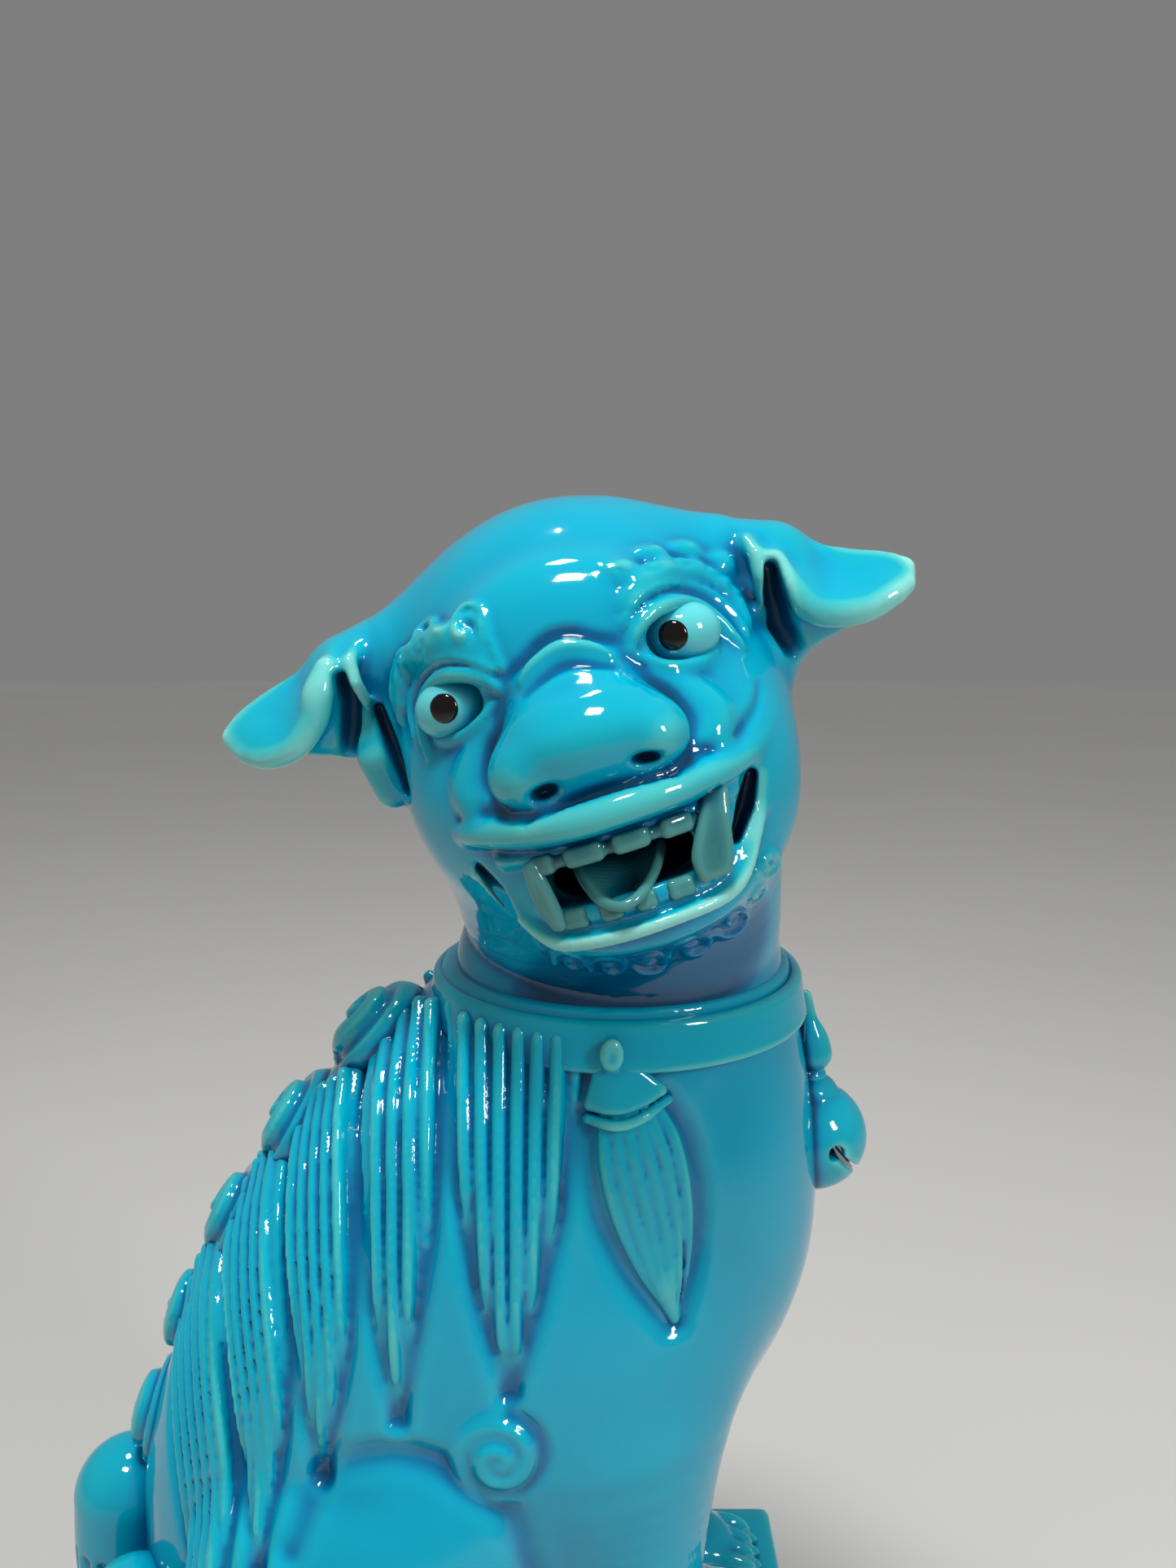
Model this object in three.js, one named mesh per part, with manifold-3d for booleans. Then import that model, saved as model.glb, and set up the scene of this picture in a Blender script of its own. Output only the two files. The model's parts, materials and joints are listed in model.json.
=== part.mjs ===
// A seated guardian lion ("foo dog") on a pierced plinth: a hollow glazed porcelain figure, built the way
// it is made, from press-moulded shells and hand-formed pieces luted together with slip and glazed.
// Frame: millimetres, +Z up, +X is where the chest faces, -Y is the side that the turned head looks to.
// The origin is the centre of the plinth's underside.
import * as THREE from "three";
import { mergeVertices } from "three/addons/utils/BufferGeometryUtils.js";
import { ConvexGeometry } from "three/addons/geometries/ConvexGeometry.js";
import Module from "manifold-3d";

// ---------------------------------------------------------------- driving dimensions
const GAP = 0.3; // slip joint between two luted pieces
const WALL = 4.5; // thickness of the moulded shells

const PLINTH_LENGTH = 124;
const PLINTH_WIDTH = 72;
const PLINTH_HEIGHT = 50;
const FOOT_HEIGHT = 12;
const TOP_THICKNESS = 8;
const WAIST_INSET = 4;
const VENT_X = -22; // the vent runs up through the plinth into the body
const VENT_RADIUS = 9;
const SLOT_WIDTH = 12;

const COLLAR_X = 29.6; // the neck's axis, and so the collar's
const COLLAR_RADIUS = 30;
const COLLAR_LOW = 170;
const COLLAR_HIGH = 176.5;
const NECK_RADIUS = 27;
const NECK_FOOT = 178; // where the torso ends and the neck begins

const HEAD_CENTRE = new THREE.Vector3(25.2, -12, 217);
const HEAD_PITCH = 6; // degrees, the face tips up
const HEAD_ROLL = 18; // degrees, the left ear is the higher one
const HEAD_YAW = 3; // degrees, towards the tail

const EYE_RADIUS = 4.2;
const CURL_RADIUS = 9;
const CURL_HEIGHT = 6;
const BALL_RADIUS = 12.5;

// ---------------------------------------------------------------- colours of the glaze
const GLAZES = {
  body: [0x17a3c4, 0.12],
  relief: [0x55c3cc, 0.12],
  trim: [0x2fb2cf, 0.12],
  mouth: [0x86bdb2, 0.2],
};

// ---------------------------------------------------------------- solids
const wasm = await Module();
wasm.setup();

// A closed three.js geometry as a solid that can be joined and cut.
function solid(geometry) {
  const bare = geometry.index ? geometry.toNonIndexed() : geometry.clone();
  bare.deleteAttribute("normal");
  bare.deleteAttribute("uv");
  const merged = mergeVertices(bare, 1e-4);
  return new wasm.Manifold(
    new wasm.Mesh({
      numProp: 3,
      vertProperties: merged.attributes.position.array,
      triVerts: new Uint32Array(merged.index.array),
    }),
  );
}

// A solid back as a three.js geometry.
function geometryOf(shape) {
  const made = shape.getMesh();
  const geometry = new THREE.BufferGeometry();
  geometry.setAttribute("position", new THREE.BufferAttribute(made.vertProperties, 3));
  geometry.setIndex(new THREE.BufferAttribute(made.triVerts, 1));
  geometry.computeVertexNormals();
  return geometry;
}

// The biggest body of a solid, without the slivers that a cut can leave.
function largest(shape) {
  return shape.decompose().reduce((a, b) => (a.volume() > b.volume() ? a : b));
}

function join(...shapes) {
  return shapes.reduce((a, b) => a.add(b));
}

function cut(shape, ...cutters) {
  return largest(cutters.reduce((a, b) => a.subtract(b), shape));
}

// An ellipsoid; turn is an Euler rotation in degrees.
function ellipsoid(centre, radii, turn = [0, 0, 0], sides = 20) {
  const geometry = new THREE.SphereGeometry(1, sides, Math.round(sides * 0.6));
  geometry.scale(...radii);
  const angles = turn.map(THREE.MathUtils.degToRad);
  geometry.applyMatrix4(new THREE.Matrix4().makeRotationFromEuler(new THREE.Euler(...angles)));
  geometry.translate(...centre);
  return solid(geometry);
}

function block(low, high) {
  const size = high.map((value, i) => value - low[i]);
  const geometry = new THREE.BoxGeometry(...size);
  geometry.translate(...low.map((value, i) => value + size[i] / 2));
  return solid(geometry);
}

// An upright round post with its foot at base.
function post(base, radius, height, sides = 24) {
  const geometry = new THREE.CylinderGeometry(radius, radius, height, sides);
  geometry.rotateX(Math.PI / 2);
  geometry.translate(base[0], base[1], base[2] + height / 2);
  return solid(geometry);
}

// A rounded limb: the hulls of successive balls [x, y, z, radius], joined end to end.
function limb(balls, sides = 12) {
  const clouds = balls.map(([x, y, z, radius]) => {
    const ball = new THREE.SphereGeometry(radius, sides, Math.round(sides * 0.6)).translate(x, y, z);
    const points = ball.attributes.position;
    const pointAt = (_, i) => new THREE.Vector3().fromBufferAttribute(points, i);
    return Array.from({ length: points.count }, pointAt);
  });
  const links = clouds.slice(1).map((cloud, i) => solid(new ConvexGeometry([...clouds[i], ...cloud])));
  return join(...links);
}

// A stack of level ellipses [z, x, y, radiusX, radiusY], smoothed between its rows and closed at both ends.
function loft(rows, { sides = 28, rings = 16, grow = 0 } = {}) {
  const centres = new THREE.CatmullRomCurve3(rows.map(([z, x, y]) => new THREE.Vector3(x, y, z)));
  const radii = new THREE.CatmullRomCurve3(rows.map(([z, , , rx, ry]) => new THREE.Vector3(rx, ry, z)));
  const geometry = new THREE.CylinderGeometry(1, 1, 1, sides, rings);
  const points = geometry.attributes.position;
  for (let i = 0; i < points.count; i++) {
    const along = points.getY(i) + 0.5;
    const centre = centres.getPoint(along);
    const radius = radii.getPoint(along);
    const x = centre.x + points.getX(i) * (radius.x + grow);
    const y = centre.y - points.getZ(i) * (radius.y + grow);
    points.setXYZ(i, x, y, centre.z);
  }
  return solid(geometry);
}

// A rope of clay through the given points, of an oval section that is wide across and high.
function rope(points, wide, high, steps = 20) {
  const path = new THREE.CatmullRomCurve3(points.map((p) => new THREE.Vector3(...p)));
  const section = new THREE.Shape().absellipse(0, 0, wide / 2, high / 2, 0, 2 * Math.PI);
  const options = { steps, curveSegments: 5, extrudePath: path, bevelEnabled: false };
  return solid(new THREE.ExtrudeGeometry(section, options));
}

// A flat ring around the vertical axis through centre, turned from a rectangle with a bevelled edge.
function band(centre, inner, outer, low, high) {
  const bevel = 1;
  const profile = [
    [inner, low],
    [outer - bevel, low],
    [outer, low + bevel],
    [outer - bevel, high - bevel / 2],
    [outer - 2 * bevel, high],
    [inner, high],
    [inner, low],
  ].map(([radius, height]) => new THREE.Vector2(radius, height));
  const geometry = new THREE.LatheGeometry(profile, 36);
  geometry.rotateX(Math.PI / 2);
  geometry.translate(centre[0], centre[1], 0);
  return solid(geometry);
}

function mirrored(shape) {
  return shape.mirror([0, 1, 0]);
}

// ---------------------------------------------------------------- the finished figure
const figure = new THREE.Group();
const headGroup = new THREE.Group();
headGroup.position.copy(HEAD_CENTRE);
headGroup.rotation.set(...[-HEAD_PITCH, -HEAD_ROLL, -HEAD_YAW].map(THREE.MathUtils.degToRad), "ZXY");
figure.add(headGroup);

function piece(name, shape, glaze, group = figure) {
  const [color, roughness] = GLAZES[glaze];
  const material = new THREE.MeshStandardMaterial({ color, roughness, metalness: 0 });
  const mesh = new THREE.Mesh(geometryOf(shape), material);
  mesh.name = name;
  group.add(mesh);
}

// A piece and its twin on the other flank. The dog's right is the -Y side.
function pair(name, shape, glaze) {
  piece(`${name}_right`, shape, glaze);
  piece(`${name}_left`, mirrored(shape), glaze);
}

// ---------------------------------------------------------------- plinth: six slabs
const halfLength = PLINTH_LENGTH / 2;
const halfWidth = PLINTH_WIDTH / 2;
const footDepth = WALL + WAIST_INSET; // how thick a side slab is at its foot
const topLow = PLINTH_HEIGHT - TOP_THICKNESS;

// A side slab along X, its outer face at -Y: a thick foot, a thinner waist and upright slots through it.
function sideSlab(half, edge, waistHalf, slotPlaces) {
  const foot = block([-half, -edge, 0], [half, -edge + footDepth, FOOT_HEIGHT]);
  const waist = block([-waistHalf, -edge + WAIST_INSET, 0], [waistHalf, -edge + footDepth, topLow - GAP]);
  const slots = slotPlaces.map((x) =>
    block([x - SLOT_WIDTH / 2, -edge - 1, FOOT_HEIGHT + 7], [x + SLOT_WIDTH / 2, -edge + 20, topLow - 7]),
  );
  return cut(join(foot, waist), ...slots);
}

function plinth() {
  const long = sideSlab(halfLength, halfWidth, halfLength - WAIST_INSET, [-44, -22, 0, 22, 44]);
  piece("plinth_side_right", long, "body");
  piece("plinth_side_left", mirrored(long), "body");

  const endHalf = halfWidth - footDepth - GAP;
  const end = sideSlab(endHalf, halfLength, endHalf, [-16.5, 0, 16.5]).rotate([0, 0, 90]);
  piece("plinth_end_front", end, "body");
  piece("plinth_end_back", end.mirror([1, 0, 0]), "body");

  const insideX = halfLength - footDepth - GAP;
  const bottom = block([-insideX, -endHalf, 0], [insideX, endHalf, WALL]);
  piece("plinth_bottom", cut(bottom, post([VENT_X, 0, -1], VENT_RADIUS, WALL + 2)), "body");

  const slab = block([-halfLength, -halfWidth, topLow], [halfLength, halfWidth, PLINTH_HEIGHT]);
  piece("plinth_top", cut(slab, post([VENT_X, 0, topLow - 1], VENT_RADIUS, TOP_THICKNESS + 2)), "body");
}

// ---------------------------------------------------------------- torso: two half shells
const SEAT = PLINTH_HEIGHT + GAP;
// [z, x, y, radiusX, radiusY]: rump on the plinth, belly, chest, shoulders and the neck's root.
const TORSO = [
  [SEAT, -27, 0, 22, 26],
  [65, -22, 0, 29, 31],
  [80, -12, 0, 37, 34],
  [95, -1.2, 0, 47.2, 35],
  [112, 4, 0, 47.4, 35.5],
  [130, 11.1, 0, 47.1, 35],
  [146, 17, 0, 42.5, 33.5],
  [160, 22, 0, 37, 31],
  [170, 27.5, 0, 30.5, 28.5],
  [NECK_FOOT, COLLAR_X, 0, NECK_RADIUS, NECK_RADIUS],
];
const torsoGrown = join(loft(TORSO, { grow: 2 * GAP }), mirrored(loft(TORSO, { grow: 2 * GAP })));

function torso() {
  const inside = TORSO.map(([z, x, y, rx, ry]) => [z, x, y, rx - WALL, ry - WALL]);
  inside[0] = [SEAT - 5, ...TORSO[0].slice(1, 3), VENT_RADIUS, VENT_RADIUS];
  inside.push([NECK_FOOT + 7, COLLAR_X, 0, NECK_RADIUS - WALL, NECK_RADIUS - WALL]);
  const shell = loft(TORSO).subtract(loft(inside));
  const farSide = block([-100, -GAP / 2, 0], [100, 100, 300]);
  pair("body_shell", cut(shell, farSide), "body");
}

// ---------------------------------------------------------------- limbs
const HAUNCH = { centre: [-8, -28, 83], radii: [27.5, 14.5, 30] };
const haunchGrown = ellipsoid(HAUNCH.centre, HAUNCH.radii.map((radius) => radius + 2 * GAP));
const floor = block([-200, -200, 0], [200, 200, SEAT]);

function limbs() {
  const haunch = ellipsoid(HAUNCH.centre, HAUNCH.radii);
  pair("haunch", cut(haunch, torsoGrown, floor), "body");

  const hindPaw = limb([[-6, -28, 58, 8], [12, -28, 57.5, 7.5], [22, -28, 57, 7.2]]);
  pair("hind_paw", cut(hindPaw, haunchGrown, torsoGrown, floor), "relief");

  // The far foreleg stands on the plinth. The near one reaches forward on to the ball.
  const leftPaw = limb([[42, 21, 57, 8], [52, 21, 55.2, 5.8]]);
  const leftPawGrown = limb([[42, 21, 57, 8 + GAP], [52, 21, 55.2, 5.8 + GAP]]);
  const leftLeg = limb([[30, 22, 104, 13], [32, 21, 84, 11.5], [38, 21, 62, 9]]);
  piece("forepaw_left", cut(leftPaw, floor), "relief");
  piece("foreleg_left", cut(leftLeg, torsoGrown, leftPawGrown, floor), "body");

  const ballCentre = [47, -22, SEAT + BALL_RADIUS];
  const ballGrown = ellipsoid(ballCentre, Array(3).fill(BALL_RADIUS + GAP));
  const rightPaw = [[43, -22, 76.5, 8], [54, -22, 74, 7]];
  const rightPawGrown = limb(rightPaw.map(([x, y, z, radius]) => [x, y, z, radius + GAP]));
  const rightLeg = limb([[30, -22, 104, 13], [32, -22, 90, 10.5], [34, -22, 80, 8.5]]);
  piece("brocade_ball", cut(ellipsoid(ballCentre, Array(3).fill(BALL_RADIUS)), floor), "trim");
  piece("forepaw_right", cut(limb(rightPaw), ballGrown), "relief");
  piece("foreleg_right", cut(rightLeg, torsoGrown, rightPawGrown, ballGrown), "body");

  const elbow = ellipsoid([12.7, -34, 116], [6.5, 4, 6.5]);
  pair("elbow_curl", cut(elbow, torsoGrown, haunchGrown), "relief");
}

// ---------------------------------------------------------------- tail: three lobes behind the rump
function tail() {
  const middle = [[-51, 0, 59, 9], [-53.5, 0, 71, 9.2], [-53.5, 0, 81.5, 8.4]];
  const middleGrown = limb(middle.map(([x, y, z, radius]) => [x, y, z, radius + GAP]));
  const side = limb([[-46, -17, 58, 8.5], [-47.5, -19, 68, 8], [-46.5, -19, 77.5, 7]]);
  piece("tail_lobe_middle", cut(limb(middle), torsoGrown, floor), "relief");
  pair("tail_lobe", cut(side, torsoGrown, middleGrown, floor), "relief");
}

// ---------------------------------------------------------------- five curls along the spine
// [x, z, tilt]: the middle of each curl's foot on the ridge, and how far its axis leans back, in degrees.
const SPINE_CURLS = [
  [-8.4, 165.4, 42],
  [-21, 149.7, 55],
  [-31.2, 133.7, 60],
  [-39.1, 116.8, 69],
  [-45.6, 98.6, 73],
];

function spineCurls() {
  SPINE_CURLS.forEach(([x, z, tilt], i) => {
    const dome = ellipsoid([x, 0, z], [CURL_RADIUS, CURL_RADIUS, CURL_HEIGHT], [0, -tilt, 0], 16);
    piece(`spine_curl_${i + 1}`, cut(dome, torsoGrown, collarGrown), "relief");
  });
}

// ---------------------------------------------------------------- collar, bell and tassels
const collarHeight = COLLAR_HIGH - COLLAR_LOW + 2 * GAP;
const collarGrown = post([COLLAR_X, 0, COLLAR_LOW - GAP], COLLAR_RADIUS + GAP, collarHeight, 36);

function harness() {
  const ring = band([COLLAR_X, 0], NECK_RADIUS - 2, COLLAR_RADIUS, COLLAR_LOW, COLLAR_HIGH);
  const neckGrown = post([COLLAR_X, 0, COLLAR_LOW - 2], NECK_RADIUS + GAP, 20, 36);
  piece("collar", cut(ring, torsoGrown, neckGrown), "trim");

  const bell = ellipsoid([61.5, 0, 147.5], [9, 9, 9]);
  const bellGrown = ellipsoid([61.5, 0, 147.5], [9 + GAP, 9 + GAP, 9 + GAP]);
  const slot = block([64, -12, 141.5], [80, 12, 144]);
  piece("bell", cut(bell, torsoGrown, slot), "trim");
  const hanger = limb([[60.8, 0, 161.5, 3.4], [60.2, 0, 167.5, 1.8]]);
  piece("bell_hanger", cut(hanger, torsoGrown, bellGrown, collarGrown), "trim");

  const cap = [[28.6, -31, 170, 2.2], [30.4, -32, 166, 4.4]];
  const capGrown = limb(cap.map(([x, y, z, radius]) => [x, y, z, radius + GAP]));
  pair("tassel_cap", cut(limb(cap), torsoGrown, collarGrown), "trim");
  const fringe = limb([
    [31.5, -31, 160, 5.2],
    [33, -32, 152, 6.5],
    [35.5, -32, 143, 4.6],
    [37, -32.5, 137.5, 2.5],
  ]);
  pair("tassel_fringe", cut(fringe, torsoGrown, capGrown), "relief");
}

// ---------------------------------------------------------------- neck and head
// The head's own frame: +X is its left ear's side, -Y is where the face looks, +Z is the crown.
const SKULL = { centre: [0, 0, 2], radii: [29, 27, 30] };
const JAW = { centre: [0, -8, -15], radii: [22.5, 20, 18] };

function headForm(grow) {
  return join(
    ellipsoid(SKULL.centre, SKULL.radii.map((r) => r + grow), [0, 0, 0], 28),
    ellipsoid(JAW.centre, JAW.radii.map((r) => r + grow), [0, 0, 0], 24),
  );
}

function toWorld(shape) {
  headGroup.updateMatrix();
  return shape.transform(headGroup.matrix.elements);
}

function neck() {
  const rows = [
    [NECK_FOOT + GAP, COLLAR_X, 0, NECK_RADIUS - 0.5, NECK_RADIUS - 0.5],
    [188, 30, -3, 24.5, 24.5],
    [200, 28, -4.5, 24, 24],
    [208, 26.5, -7, 22, 22],
  ];
  const inside = rows.map(([z, x, y, rx, ry]) => [z, x, y, rx - WALL, ry - WALL]);
  inside[0][0] = NECK_FOOT - 1;
  inside[rows.length - 1][0] = 210;
  const tube = loft(rows, { sides: 32, rings: 6 }).subtract(loft(inside, { sides: 24, rings: 4 }));
  const beards = toWorld(join(...beardCurls(GAP)));
  piece("neck", cut(tube, toWorld(headForm(GAP)), beards), "body");
}

// Small rolled curls in a row under the chin.
function beardCurls(grow = 0) {
  return [-50, -25, 0, 25, 50].map((turn) => {
    const angle = THREE.MathUtils.degToRad(turn);
    const x = 17 * Math.sin(angle);
    const y = -8 - 15 * Math.cos(angle);
    const z = -31 + 5 * (1 - Math.cos(angle));
    return ellipsoid([x, y, z], [3.6 + grow, 2.6 + grow, 3.6 + grow], [0, 0, turn], 12);
  });
}

function eyeBall(side, grow) {
  const radius = EYE_RADIUS + grow;
  return ellipsoid([side * 15, -22, 6], [radius, radius, radius], [0, 0, 0], 16);
}

function head() {
  const outer = headForm(0);
  const outerGrown = headForm(GAP);
  const inner = headForm(-WALL);
  const mouth = block([-19, -60, -22.5], [19, -8, -14.5]);
  const throat = post([4, 4, -60], 15, 50);
  const shell = outer.subtract(inner).subtract(mouth).subtract(throat);

  // Face mask and back of the skull meet just behind the ears, and the jaw hangs below the mouth's corners.
  const seam = 4;
  const hinge = -18.5;
  const behind = block([-100, seam - GAP, -100], [100, 100, 100]);
  const before = block([-100, -100, -100], [100, seam, 100]);
  const below = block([-100, -100, -100], [100, 100, hinge]);
  const above = block([-100, -100, hinge - GAP], [100, 100, 100]);
  const sockets = [-1, 1].map((side) => eyeBall(side, GAP));
  piece("face_shell", cut(shell, behind, below, ...sockets), "body", headGroup);
  piece("jaw", cut(shell, behind, above), "body", headGroup);
  piece("skull_shell", cut(shell, before), "body", headGroup);

  const noseForm = join(
    ellipsoid([0, -27, -1.5], [12.5, 11, 8.5]),
    limb([[0, -23, 7, 4.5], [0, -26, 3, 6]]),
  );
  const nostril = (side) => ellipsoid([side * 7, -35.5, -8], [2.2, 4.5, 1.6], [35, 0, side * 20], 12);
  const nostrils = [nostril(-1), nostril(1)];
  piece("nose", cut(noseForm, outerGrown, ...nostrils), "body", headGroup);
  const noseGrown = ellipsoid([0, -27, -1.5], [12.5 + GAP, 11 + GAP, 8.5 + GAP]);

  // [across, forward, up] of each lip's middle line, from its centre to its corner.
  const upperLine = [[0, -30.5, -11.5], [8, -29, -12], [17, -22, -12], [22, -13, -8], [21, -4, -4]];
  const lowerLine = [[0, -28.5, -26], [8, -27, -25.5], [15, -22, -23.5], [20, -14, -19], [21, -5, -14]];
  const bothSides = (line) => [...line.slice(1).reverse().map(([x, y, z]) => [-x, y, z]), ...line];
  const upperLip = rope(bothSides(upperLine), 5, 8);
  const lowerLip = rope(bothSides(lowerLine), 5, 6);
  piece("upper_lip", cut(upperLip, outerGrown, noseGrown, mouth), "relief", headGroup);
  piece("lower_lip", cut(lowerLip, outerGrown, mouth), "relief", headGroup);

  // Teeth and tongue stand inside the mouth's opening.
  const upperTeeth = rope([[-10, -21, -15.6], [0, -25.5, -15.6], [10, -21, -15.6]], 1.6, 3, 12);
  const lowerTeeth = rope([[-10, -20, -21.4], [0, -24.5, -21.4], [10, -20, -21.4]], 1.6, 3, 12);
  const opening = block([-18.7, -60, -22.2], [18.7, 0, -14.8]);
  piece("upper_teeth", upperTeeth.intersect(opening), "mouth", headGroup);
  piece("lower_teeth", lowerTeeth.intersect(opening), "mouth", headGroup);
  for (const [name, side] of [["right", -1], ["left", 1]]) {
    const fang = limb([[side * 13.2, -20, -13, 2.2], [side * 13.4, -20.5, -24, 1.8]], 10);
    piece(`fang_${name}`, cut(fang.intersect(opening), upperTeeth, lowerTeeth), "mouth", headGroup);
  }
  const tongue = limb([[0, -8, -20, 3], [0, -16, -18.4, 2.6], [0, -20.5, -18.4, 2.2]]);
  piece("tongue", tongue, "mouth", headGroup);

  [["right", -1], ["left", 1]].forEach(([name, side]) => {
    piece(`eyeball_${name}`, eyeBall(side, 0), "mouth", headGroup);
    const brow = join(
      ellipsoid([side * 15.5, -20.5, 13.5], [9, 5.5, 4.5], [0, side * 12, side * 30]),
      ellipsoid([side * 19.5, -19, 9.5], [5, 5.5, 6.5], [0, 0, side * 40]),
    );
    piece(`brow_${name}`, cut(brow, outerGrown, eyeBall(side, 2 * GAP), noseGrown), "relief", headGroup);

    // The ear hangs out sideways: a leaf with a hollow front. The right one stands higher.
    const lift = side < 0 ? 5 : 0;
    const leaf = limb([
      [side * 26, -3, 10.5 + lift, 8.5],
      [side * 36, -7, 7.5 + lift, 6.5],
      [side * 46, -10, 4.8 + lift, 3.4],
    ]);
    const hollow = limb([
      [side * 29, -13, 5 + lift, 3.5],
      [side * 37, -15.5, 6 + lift, 3.8],
      [side * 44, -14.5, 5 + lift, 2],
    ]);
    piece(`ear_${name}`, cut(leaf, outerGrown, hollow), "body", headGroup);
  });

  beardCurls().forEach((curl, i) => {
    piece(`beard_curl_${i + 1}`, cut(curl, outerGrown), "relief", headGroup);
  });
}

plinth();
torso();
limbs();
tail();
spineCurls();
harness();
neck();
head();

export default figure;
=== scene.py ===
# A seated guardian lion ("foo dog") of turquoise-glazed porcelain.
# Every piece is sculpted as clay: a signed distance field on a grid, in millimetres, where soft unions and
# cuts press the forms together. The field's surface becomes the piece's mesh, in metres.
# Frame: +Z up, +X where the chest faces, -Y the side that the turned head looks to, origin under the plinth.
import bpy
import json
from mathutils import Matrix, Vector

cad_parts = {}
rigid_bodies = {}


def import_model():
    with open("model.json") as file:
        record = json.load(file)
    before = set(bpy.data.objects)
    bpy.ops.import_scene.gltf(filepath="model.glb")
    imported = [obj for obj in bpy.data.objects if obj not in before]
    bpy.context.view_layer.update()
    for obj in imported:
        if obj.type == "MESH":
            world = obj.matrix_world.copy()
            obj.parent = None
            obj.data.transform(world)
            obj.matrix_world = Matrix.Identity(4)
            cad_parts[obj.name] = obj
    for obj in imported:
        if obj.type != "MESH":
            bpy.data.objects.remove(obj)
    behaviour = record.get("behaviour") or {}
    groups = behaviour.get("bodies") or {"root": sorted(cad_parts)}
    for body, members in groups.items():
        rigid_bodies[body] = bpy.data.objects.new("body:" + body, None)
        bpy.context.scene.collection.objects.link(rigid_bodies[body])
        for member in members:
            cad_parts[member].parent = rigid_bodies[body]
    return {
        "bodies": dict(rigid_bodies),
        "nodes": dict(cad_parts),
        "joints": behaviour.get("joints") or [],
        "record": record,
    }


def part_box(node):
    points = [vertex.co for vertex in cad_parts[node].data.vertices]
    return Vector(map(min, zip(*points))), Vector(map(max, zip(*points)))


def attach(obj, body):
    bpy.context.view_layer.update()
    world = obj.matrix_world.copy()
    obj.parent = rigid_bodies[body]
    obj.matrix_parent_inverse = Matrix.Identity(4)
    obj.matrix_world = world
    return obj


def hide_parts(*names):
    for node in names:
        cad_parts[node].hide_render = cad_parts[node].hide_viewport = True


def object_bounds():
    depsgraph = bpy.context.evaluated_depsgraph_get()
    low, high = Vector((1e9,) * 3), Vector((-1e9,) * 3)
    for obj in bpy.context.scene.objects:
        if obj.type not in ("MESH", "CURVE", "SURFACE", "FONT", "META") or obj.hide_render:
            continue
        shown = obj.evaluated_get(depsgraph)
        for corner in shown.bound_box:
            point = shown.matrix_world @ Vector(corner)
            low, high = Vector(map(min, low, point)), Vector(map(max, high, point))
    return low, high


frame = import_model()

import copy
import json
import math

import bmesh
import bpy
import numpy as np
from mathutils import Euler, Vector

MM = 0.001
CAD_BOX = [list(corner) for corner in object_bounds()]

# ---------------------------------------------------------------- driving dimensions, mm
BODY_VOXEL = 0.5
HEAD_VOXEL = 0.45
TRIM_VOXEL = 0.4
TOOTH_VOXEL = 0.25
PUPIL_VOXEL = 0.2
HARNESS_VOXEL = 0.35
LIMB_VOXEL = 0.5
PLINTH_VOXEL = 0.7
WORLD_VOXEL = 1.0
SEAT = 50.2  # just above the plinth's top
FAR = 8.0  # the field's value well away from any clay

HEAD_CENTRE = (25.2, -12, 217)
HEAD_PITCH = 6  # degrees, the face tips up
HEAD_ROLL = 18  # degrees, the left ear is the higher one
HEAD_YAW = 3  # degrees, towards the tail
COLLAR_X = 29.6
VENT_X = -22
VENT_RADIUS = 9
CURL_RADIUS = 9.3
CURL_HEIGHT = 6.8
RAY_START = -60.0  # lines cast onto the near side start here on Y, well outside every form

# [z, x, radiusX, radiusY]: the torso's level sections, from the rump on the plinth to the neck's root.
TORSO = [
    (50.2, -27, 22, 26),
    (65, -22, 29, 31),
    (80, -12, 37, 34),
    (95, -1.2, 47.2, 35),
    (112, 4, 47.4, 35.5),
    (130, 11.1, 47.1, 35),
    (146, 17, 42.5, 33.5),
    (160, 22, 37, 31),
    (170, 27.5, 30.5, 28.5),
    (178, 29.6, 27, 27),
]


# ---------------------------------------------------------------- clay
def smooth_path(rows, count):
    """Points along a smooth curve through the rows. Any further columns, such as a radius, ride along."""
    rows = np.array(rows, float)
    padded = np.vstack([2 * rows[0] - rows[1], rows, 2 * rows[-1] - rows[-2]])
    t = np.linspace(0, len(rows) - 1, count)
    i = np.minimum(t.astype(int), len(rows) - 2)
    f = (t - i)[:, None]
    a, b, c, d = padded[i], padded[i + 1], padded[i + 2], padded[i + 3]
    return 0.5 * (2 * b + (c - a) * f + (2 * a - 5 * b + 4 * c - d) * f**2 + (3 * b - a - 3 * c + d) * f**3)


def smooth_min(a, b, soft):
    if soft <= 0:
        return np.minimum(a, b)
    h = np.clip(0.5 + 0.5 * (b - a) / soft, 0, 1)
    return b + (a - b) * h - soft * h * (1 - h)


class Frame:
    """A place and a turn: the head's shapes are given in the head's own frame."""

    def __init__(self, origin=(0, 0, 0), turn=None):
        self.origin = np.array(origin, float)
        self.turn = np.eye(3) if turn is None else turn

    def at(self, points):
        return np.asarray(points, float) @ self.turn.T + self.origin

    def along(self, vector):
        return self.turn @ np.asarray(vector, float)

    def turned(self, degrees):
        return self.turn @ np.array(Euler([math.radians(a) for a in degrees]).to_matrix())


WORLD = Frame()
HEAD_TURN = (
    np.array(Euler((0, 0, -math.radians(HEAD_YAW))).to_matrix())
    @ np.array(Euler((-math.radians(HEAD_PITCH), 0, 0)).to_matrix())
    @ np.array(Euler((0, -math.radians(HEAD_ROLL), 0)).to_matrix())
)
HEAD = Frame(HEAD_CENTRE, HEAD_TURN)


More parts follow.
